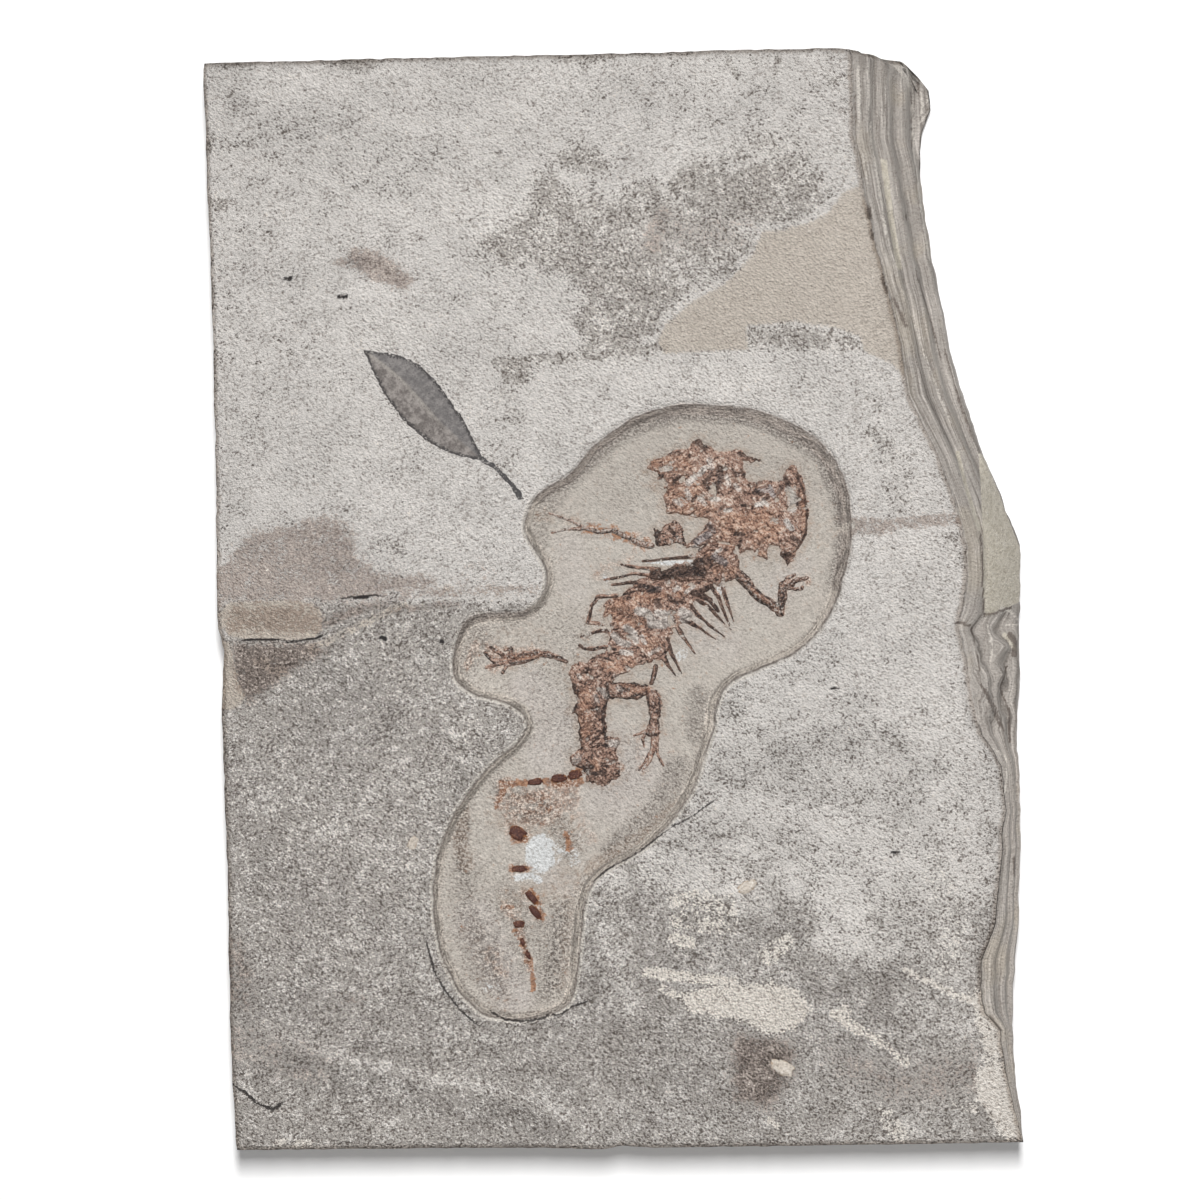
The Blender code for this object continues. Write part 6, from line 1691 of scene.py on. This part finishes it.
leaf_values = {
    "midrib": midrib * (1.0 - 0.7 * ramp(length_share, 0.35, 0.6)), "veins": side_veins,
    "margin": 1.0 - ramp(half_width * (1.0 - off_middle), 0.1, 1.0), "stalk": 1.0 - blade_only,
    "half": ramp(across * np.ones_like(half_width), -0.1, 0.2)}
print(f"leaf {2.0 * half_width.max():.1f} mm wide at its widest")

# %% Make the leaf a closed solid


def closed_sheet(name, top, low, values):
    """A closed solid under a grid of points: the grid, a flat copy at height low, and walls."""
    grid = np.arange(top[..., 0].size).reshape(top.shape[:2])
    under = np.concatenate((top[..., :2], np.full(top.shape[:2] + (1,), low)), -1)
    points = np.vstack((top.reshape(-1, 3), under.reshape(-1, 3)))
    ring = border_of(grid)
    ring = np.append(ring, ring[0])
    walls = np.stack((ring[1:], ring[:-1], ring[:-1] + grid.size, ring[1:] + grid.size), -1)
    faces = np.vstack((quads(grid), quads(grid)[:, ::-1] + grid.size, walls))
    doubled = {label: np.tile(np.ravel(value), 2) for label, value in values.items()}
    return solid(name, points, faces.tolist(), doubled)


def leaf_film():
    """Soft black-brown carbon: darker along the margin, with a pale grey midrib."""
    made, tree, shader, _, grain = begin("leaf film")
    fine = grain["Fine"]
    film = mix(tree, spread(tree, grain["Medium"], 0.38, 0.62), (104, 97, 93), (150, 143, 138))
    film = cover(tree, film, (106, 106, 108), attribute(tree, "half"), 0.45)
    film = cover(tree, film, (150, 146, 142), attribute(tree, "veins"), 0.16)
    film = cover(tree, film, (166, 160, 152), attribute(tree, "midrib"), 0.6)
    film = cover(tree, film, (52, 48, 48), edged(tree, "margin", 3.0, 0.2, fine), 0.9)
    film = cover(tree, film, (70, 68, 69), attribute(tree, "stalk"), 0.5)
    ends = calc(tree, "MAXIMUM", attribute(tree, "stalk"), attribute(tree, "margin"))
    lifted = times(tree, spread(tree, grain["Dashes"], 0.57, 0.62),
                   spread(tree, ends, 0.2, 0.9, 0.0, 0.75))
    film = mix(tree, lifted, film, (176, 171, 166))
    film = toned(tree, film, fine, 0.34, 0.66, 0.80, 1.18)
    feed(tree, film, shader.inputs["Base Color"])
    shader.inputs["Roughness"].default_value = 0.72
    bumped(tree, shader, fine, 0.12)
    return made


leaf_points = np.stack((leaf_x, leaf_y, leaf_z), -1)
leaf = closed_sheet("leaf_film", leaf_points, LEAF_LOW, leaf_values)
dress(leaf, "leaf", leaf_film())

# %% [markdown]
# ## The bones themselves
#
# Each packed bone becomes one closed solid. Its upper surface is the bed plus the bone's height,
# broken into tilted shards and roughened, and its underside is flat and buried. The values for
# the material go with the points: how dark, pale, rusty or bluish, and which shard.

# %% Turn heights into closed solids
BONE_SPACING = 0.13
BURIED = 0.45  # how far the underside lies below the bed
MARGIN = 1.4  # how far a bone may reach past its packed box
CUT_OFF = -0.13  # squares lower than this on all corners are dropped


def relief_solid(name, node, spacing, height_of):
    """A closed solid over the squares of a grid where height_of rises above the cut-off.

    height_of gives the height above the bed and the values of the material at each point.
    """
    low, high = (np.array(corner[:2]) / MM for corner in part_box(node))
    x, y = np.meshgrid(np.arange(low[0] - MARGIN, high[0] + MARGIN, spacing),
                       np.arange(low[1] - MARGIN, high[1] + MARGIN, spacing), indexing="ij")
    height, values = height_of(x, y)
    grid = np.arange(x.size).reshape(x.shape)
    kept = quads(grid)
    kept = kept[height.ravel()[kept].max(1) > CUT_OFF]
    sides = np.stack((kept, np.roll(kept, -1, 1)), -1).reshape(-1, 2)
    code = sides[:, 0] * x.size + sides[:, 1]
    alone = sides[~np.isin(sides[:, 1] * x.size + sides[:, 0], code)]
    walls = np.column_stack((alone[:, 1], alone[:, 0], alone[:, 0] + x.size, alone[:, 1] + x.size))
    faces = np.vstack((kept, kept[:, ::-1] + x.size, walls))
    used, faces = np.unique(faces, return_inverse=True)
    top = np.column_stack((x.ravel(), y.ravel(), (bed_height(x, y) + height).ravel()))
    under = np.column_stack((x.ravel(), y.ravel(), np.full(x.size, FLOOR - BURIED)))
    doubled = {label: np.tile(np.ravel(value), 2)[used] for label, value in values.items()}
    return solid(name, np.vstack((top, under))[used], faces.reshape(-1, 4).tolist(), doubled)


print(f"bones from {FLOOR - BURIED:.2f} mm up, with points every {BONE_SPACING} mm")

# %% Break the bones into shards
BIG_SHARD, SMALL_SHARD = 2.1, 0.85  # mm
SHARD_TILT = 0.9


def crushed(x, y, size, seed):
    """Shards that stand at their own level and tilt, with a sunk seam between them."""
    wx, wy = x + 0.3 * noise(x, y, 1.2, seed), y + 0.3 * noise(x, y, 1.2, seed + 1)
    lot, du, dv, gap = shards(wx, wy, size, seed)
    turn = 2.0 * np.pi * lot
    lean = du * np.cos(turn) + dv * np.sin(turn)
    return (lot - 0.5) + SHARD_TILT * lean, lot, 1.0 - ramp(gap, 0.0, 0.16)


def newt_bone(plates, rods, broken, faint):
    """The height and the values of one bone, as a function for relief_solid."""
    def height_of(x, y):
        """Height above the bed, and the values of the material, at each point."""
        height, ratio = bone_height(x, y, plates, rods)
        inside = ramp(height, 0.0, 0.3)
        big, lot, seam = crushed(x, y, BIG_SHARD, 81)
        small, small_lot, small_seam = crushed(x, y, SMALL_SHARD, 83)
        jumble = broken * (0.30 * big + 0.20 * small - 0.16 * seam - 0.10 * small_seam)
        grit = 0.10 * noise(x, y, 0.8, 85) + 0.09 * noise(x, y, 0.42, 86) + 0.06 * noise(x, y, 0.26, 87)
        spalled = ramp(noise(x, y, 1.9, 88) + 0.4 * noise(x, y, 0.7, 89), 0.52, 0.8)
        holes = np.maximum(marks(x, y, HOLLOWS), spalled)
        sunk = 0.9 * holes * broken * np.maximum(height, 0.0)
        height = height + inside * (jumble + grit * (0.4 + 0.6 * broken)) - sunk
        height = np.maximum(height, LOWEST)
        values = {"dark": marks(x, y, DARK_BONE), "pale": marks(x, y, PALE_BONE),
                  "rusty": marks(x, y, RUSTY_BONE), "bluish": marks(x, y, BLUISH_BONE),
                  "shard": lot, "chip": small_lot, "crushed": np.full(np.shape(x), max(broken, 0.6)),
                  "seam": np.maximum(seam, 0.7 * small_seam) * broken, "rod": ramp(ratio, 0.4, 0.85),
                  "faint": np.maximum(faint, 0.8 * holes * broken), "above": height}
        return height, values
    return height_of


print(f"shards {BIG_SHARD} and {SMALL_SHARD} mm across")

# %% [markdown]
# ## Colour of the bones
#
# One tone is added up from grains, from fibres that run another way in every shard, and from
# the shards themselves, and it is turned into colours from black-brown to cream. Rusty, bluish,
# pale and dark places then give that same tone other colours, so one texture runs through them
# all. Slopes towards the lamp get a painted highlight, and slopes away from it painted shade.

# %% Make the bones


def old_bone():
    """Crushed bone: black-brown to cream in grains, with rusty, dark and bluish parts."""
    made, tree, shader, place, grain = begin("old bone")
    fine, medium = grain["Fine"], grain["Medium"]
    grit = field(tree, place, 3.6, 3.0, 0.75)
    one_way, other_way = (field(tree, stretched(tree, place, turn, (3.0, 1.0, 1.0)), 2.6, 3.0, 0.7)
                          for turn in (22.0, -48.0))
    which = spread(tree, attribute(tree, "shard"), 0.48, 0.52)
    fibres = times_add(tree, which, calc(tree, "SUBTRACT", other_way, one_way), one_way)
    tone = 0.16
    for source, strength in ((grit, 1.1), (fibres, 2.2), (fine, 1.5), (medium, 0.9),
                             (attribute(tree, "shard"), 0.16), (attribute(tree, "chip"), 0.3)):
        tone = times_add(tree, off_half(tree, source), strength, tone)
    # Higher bone is made darker and its low edges lighter: painted light that offsets the shade falling
    # round the edges of the bones.
    for name, strength in (("rod", -0.17), ("seam", -0.16), ("above", -0.16), ("crushed", 0.47)):
        tone = times_add(tree, attribute(tree, name), strength, tone)
    bone = mix(tree, spread(tree, tone, 0.0, 0.5), (56, 40, 35), (168, 134, 117))
    bone = mix(tree, spread(tree, tone, 0.48, 1.0), bone, (226, 210, 196))
    rusted = mix(tree, spread(tree, tone, 0.1, 0.75), (120, 76, 54), (206, 156, 122))
    bone = cover(tree, bone, rusted, edged(tree, "rusty", 2.4, 0.4, medium), 0.38)
    for name, share, low, high in (("bluish", 0.6, (92, 91, 94), (180, 182, 185)),
                                   ("pale", 0.82, (158, 149, 142), (232, 226, 219)),
                                   ("dark", 0.85, (36, 28, 27), (96, 74, 65))):
        own = mix(tree, spread(tree, tone, 0.15, 0.8), low, high)
        bone = cover(tree, bone, own, edged(tree, name, 2.2, 0.3, grit), share)
    bed = mix(tree, spread(tree, fine, 0.3, 0.7), (158, 149, 140), (196, 190, 183))
    bone = cover(tree, bone, bed, edged(tree, "faint", 2.6, 0.25, fine), 0.85)
    normal = bumped(tree, shader, times_add(tree, grit, 0.5, times(tree, fibres, 1.2)), 0.3)
    # Painted light: bone slopes that face the lamp are painted lighter, those facing away darker.
    bone = dimmed(tree, bone, painted_lamp_light(tree, normal, (0.30, 0.95, 0.0), 0.5))
    feed(tree, bone, shader.inputs["Base Color"])
    feed(tree, spread(tree, tone, 0.0, 1.0, 0.5, 0.8), shader.inputs["Roughness"])
    return made


OLD_BONE = old_bone()
for node, facts in BONES.items():
    dress(relief_solid("newt_" + node, node, BONE_SPACING, newt_bone(*facts)), node, OLD_BONE)

# %% [markdown]
# ## Tail bones and shell bits
#
# The tail ends in a string of small loose vertebrae, and three white bits of shell lie on the
# face. Each is a pebble: a sphere drawn out to its length, width and height, with a lumpy
# radius. The two poles are single points, so the skin is closed without a seam.

# %% Shape a pebble
ROUND_STEPS, UP_STEPS = 56, 32


def pebble(name, x, y, length, width, angle, low, high, seed):
    """A lumpy ellipsoid of given length, width and heights, turned by angle in degrees.

    Longitude goes round, latitude goes up, and the radius is 1 plus noise of the direction.
    """
    round_angle = np.linspace(0.0, 2.0 * np.pi, ROUND_STEPS, endpoint=False)[None, :]
    up_angle = np.linspace(-0.5 * np.pi, 0.5 * np.pi, UP_STEPS)[1:-1, None]
    a, b = np.cos(up_angle) * np.cos(round_angle), np.cos(up_angle) * np.sin(round_angle)
    c = np.sin(up_angle) * np.ones_like(round_angle)
    lumpy = 1.0 + 0.20 * noise(a * 2.0 + c, b * 2.0 - c, 0.9, seed)
    lumpy += 0.14 * noise(a * 2.0, b * 2.0 + c, 0.35, seed)
    a, b, c = (np.sign(v) * np.abs(v) ** 0.85 * lumpy for v in (a, b, c))
    turn = np.radians(angle)
    px = x + 0.5 * (length * a * np.cos(turn) - width * b * np.sin(turn))
    py = y + 0.5 * (length * a * np.sin(turn) + width * b * np.cos(turn))
    pz = 0.5 * (low + high) + 0.5 * (high - low) * np.clip(c, -1.0, 1.0)
    ring = np.arange(px.size).reshape(px.shape)
    ring = np.column_stack((ring, ring[:, 0]))
    sides = quads(ring)[:, ::-1].tolist()
    south, north = px.size, px.size + 1
    bottom = [(south, int(q), int(p)) for p, q in zip(ring[0, :-1], ring[0, 1:])]
    top = [(north, int(p), int(q)) for p, q in zip(ring[-1, :-1], ring[-1, 1:])]
    points = np.vstack((np.column_stack((px.ravel(), py.ravel(), pz.ravel())), (x, y, low), (x, y, high)))
    values = {"high": np.append(c.ravel(), (-1.0, 1.0))}
    return solid(name, points, sides + bottom + top, values)


def pebble_matter(name, dark, middle, light, low_tone, roughness):
    """Grainy matter in three tones; the flanks take low_tone where a pebble meets the stone."""
    made, tree, shader, place, grain = begin(name)
    grit = field(tree, place, 3.2, 3.0, 0.75)
    tone = times_add(tree, off_half(tree, grit), 1.6, 0.5)
    tone = times_add(tree, off_half(tree, grain["Medium"]), 0.9, tone)
    matter = mix(tree, spread(tree, tone, 0.1, 0.5), dark, middle)
    matter = mix(tree, spread(tree, tone, 0.5, 0.9), matter, light)
    flank = times_add(tree, grit, 0.5, attribute(tree, "high"))
    matter = mix(tree, spread(tree, flank, 0.35, 0.75, 0.85, 0.0), matter, low_tone)
    feed(tree, matter, shader.inputs["Base Color"])
    shader.inputs["Roughness"].default_value = roughness
    bumped(tree, shader, grit, 0.15)
    return made


print("points on a pebble:", ROUND_STEPS * (UP_STEPS - 2) + 2)

# %% Place the tail vertebrae and the shell bits
# Each row is (x, y, length, width, angle).
TAIL_VERTEBRAE = ((-6.9, -31.6, 2.6, 1.6, 24), (-9.9, -32.3, 2.8, 1.5, 4), (-14.1, -32.9, 2.8, 1.1, 8),
    (-17.2, -42.2, 2.9, 2.4, -20), (-17, -48.7, 2.6, 1.1, 0), (-14.7, -53.9, 2.9, 1.3, -46),
    (-14, -56.6, 3, 1.3, -50), (-17, -58.7, 2, 1.2, 0), (-16.4, -61.9, 1.5, 0.8, -70),
    (-15.4, -64.3, 1.7, 0.8, -65))
SHELL_BITS = ((24.2, -51.9, 3.4, 1.8, 35.0), (30.7, -84.6, 4.4, 2.4, -25.0), (-36.2, -43.9, 2.4, 1.6, 60.0))
BEAD_HEIGHTS = (FLOOR - 0.2, FLOOR + 0.85)
SHELL_HEIGHTS = (FACE - 0.45, FACE + 0.35)

TAIL_BONE = pebble_matter("dark tail bone", (40, 20, 17), (84, 46, 37), (142, 100, 78), (168, 116, 78), 0.6)
for index, facts in enumerate(TAIL_VERTEBRAE, 1):
    bead = pebble(f"newt_tail_vertebra_{index}", *facts, *BEAD_HEIGHTS, index)
    dress(bead, f"tail_vertebra_{index}", TAIL_BONE)
SHELL = pebble_matter("weathered shell", (140, 126, 112), (214, 203, 190), (246, 241, 234),
                      (196, 172, 146), 0.45)
for index, facts in enumerate(SHELL_BITS, 1):
    bit = pebble(f"white_shell_{index}", *facts, *SHELL_HEIGHTS, index + 20)
    dress(bit, f"shell_bit_{index}", SHELL)
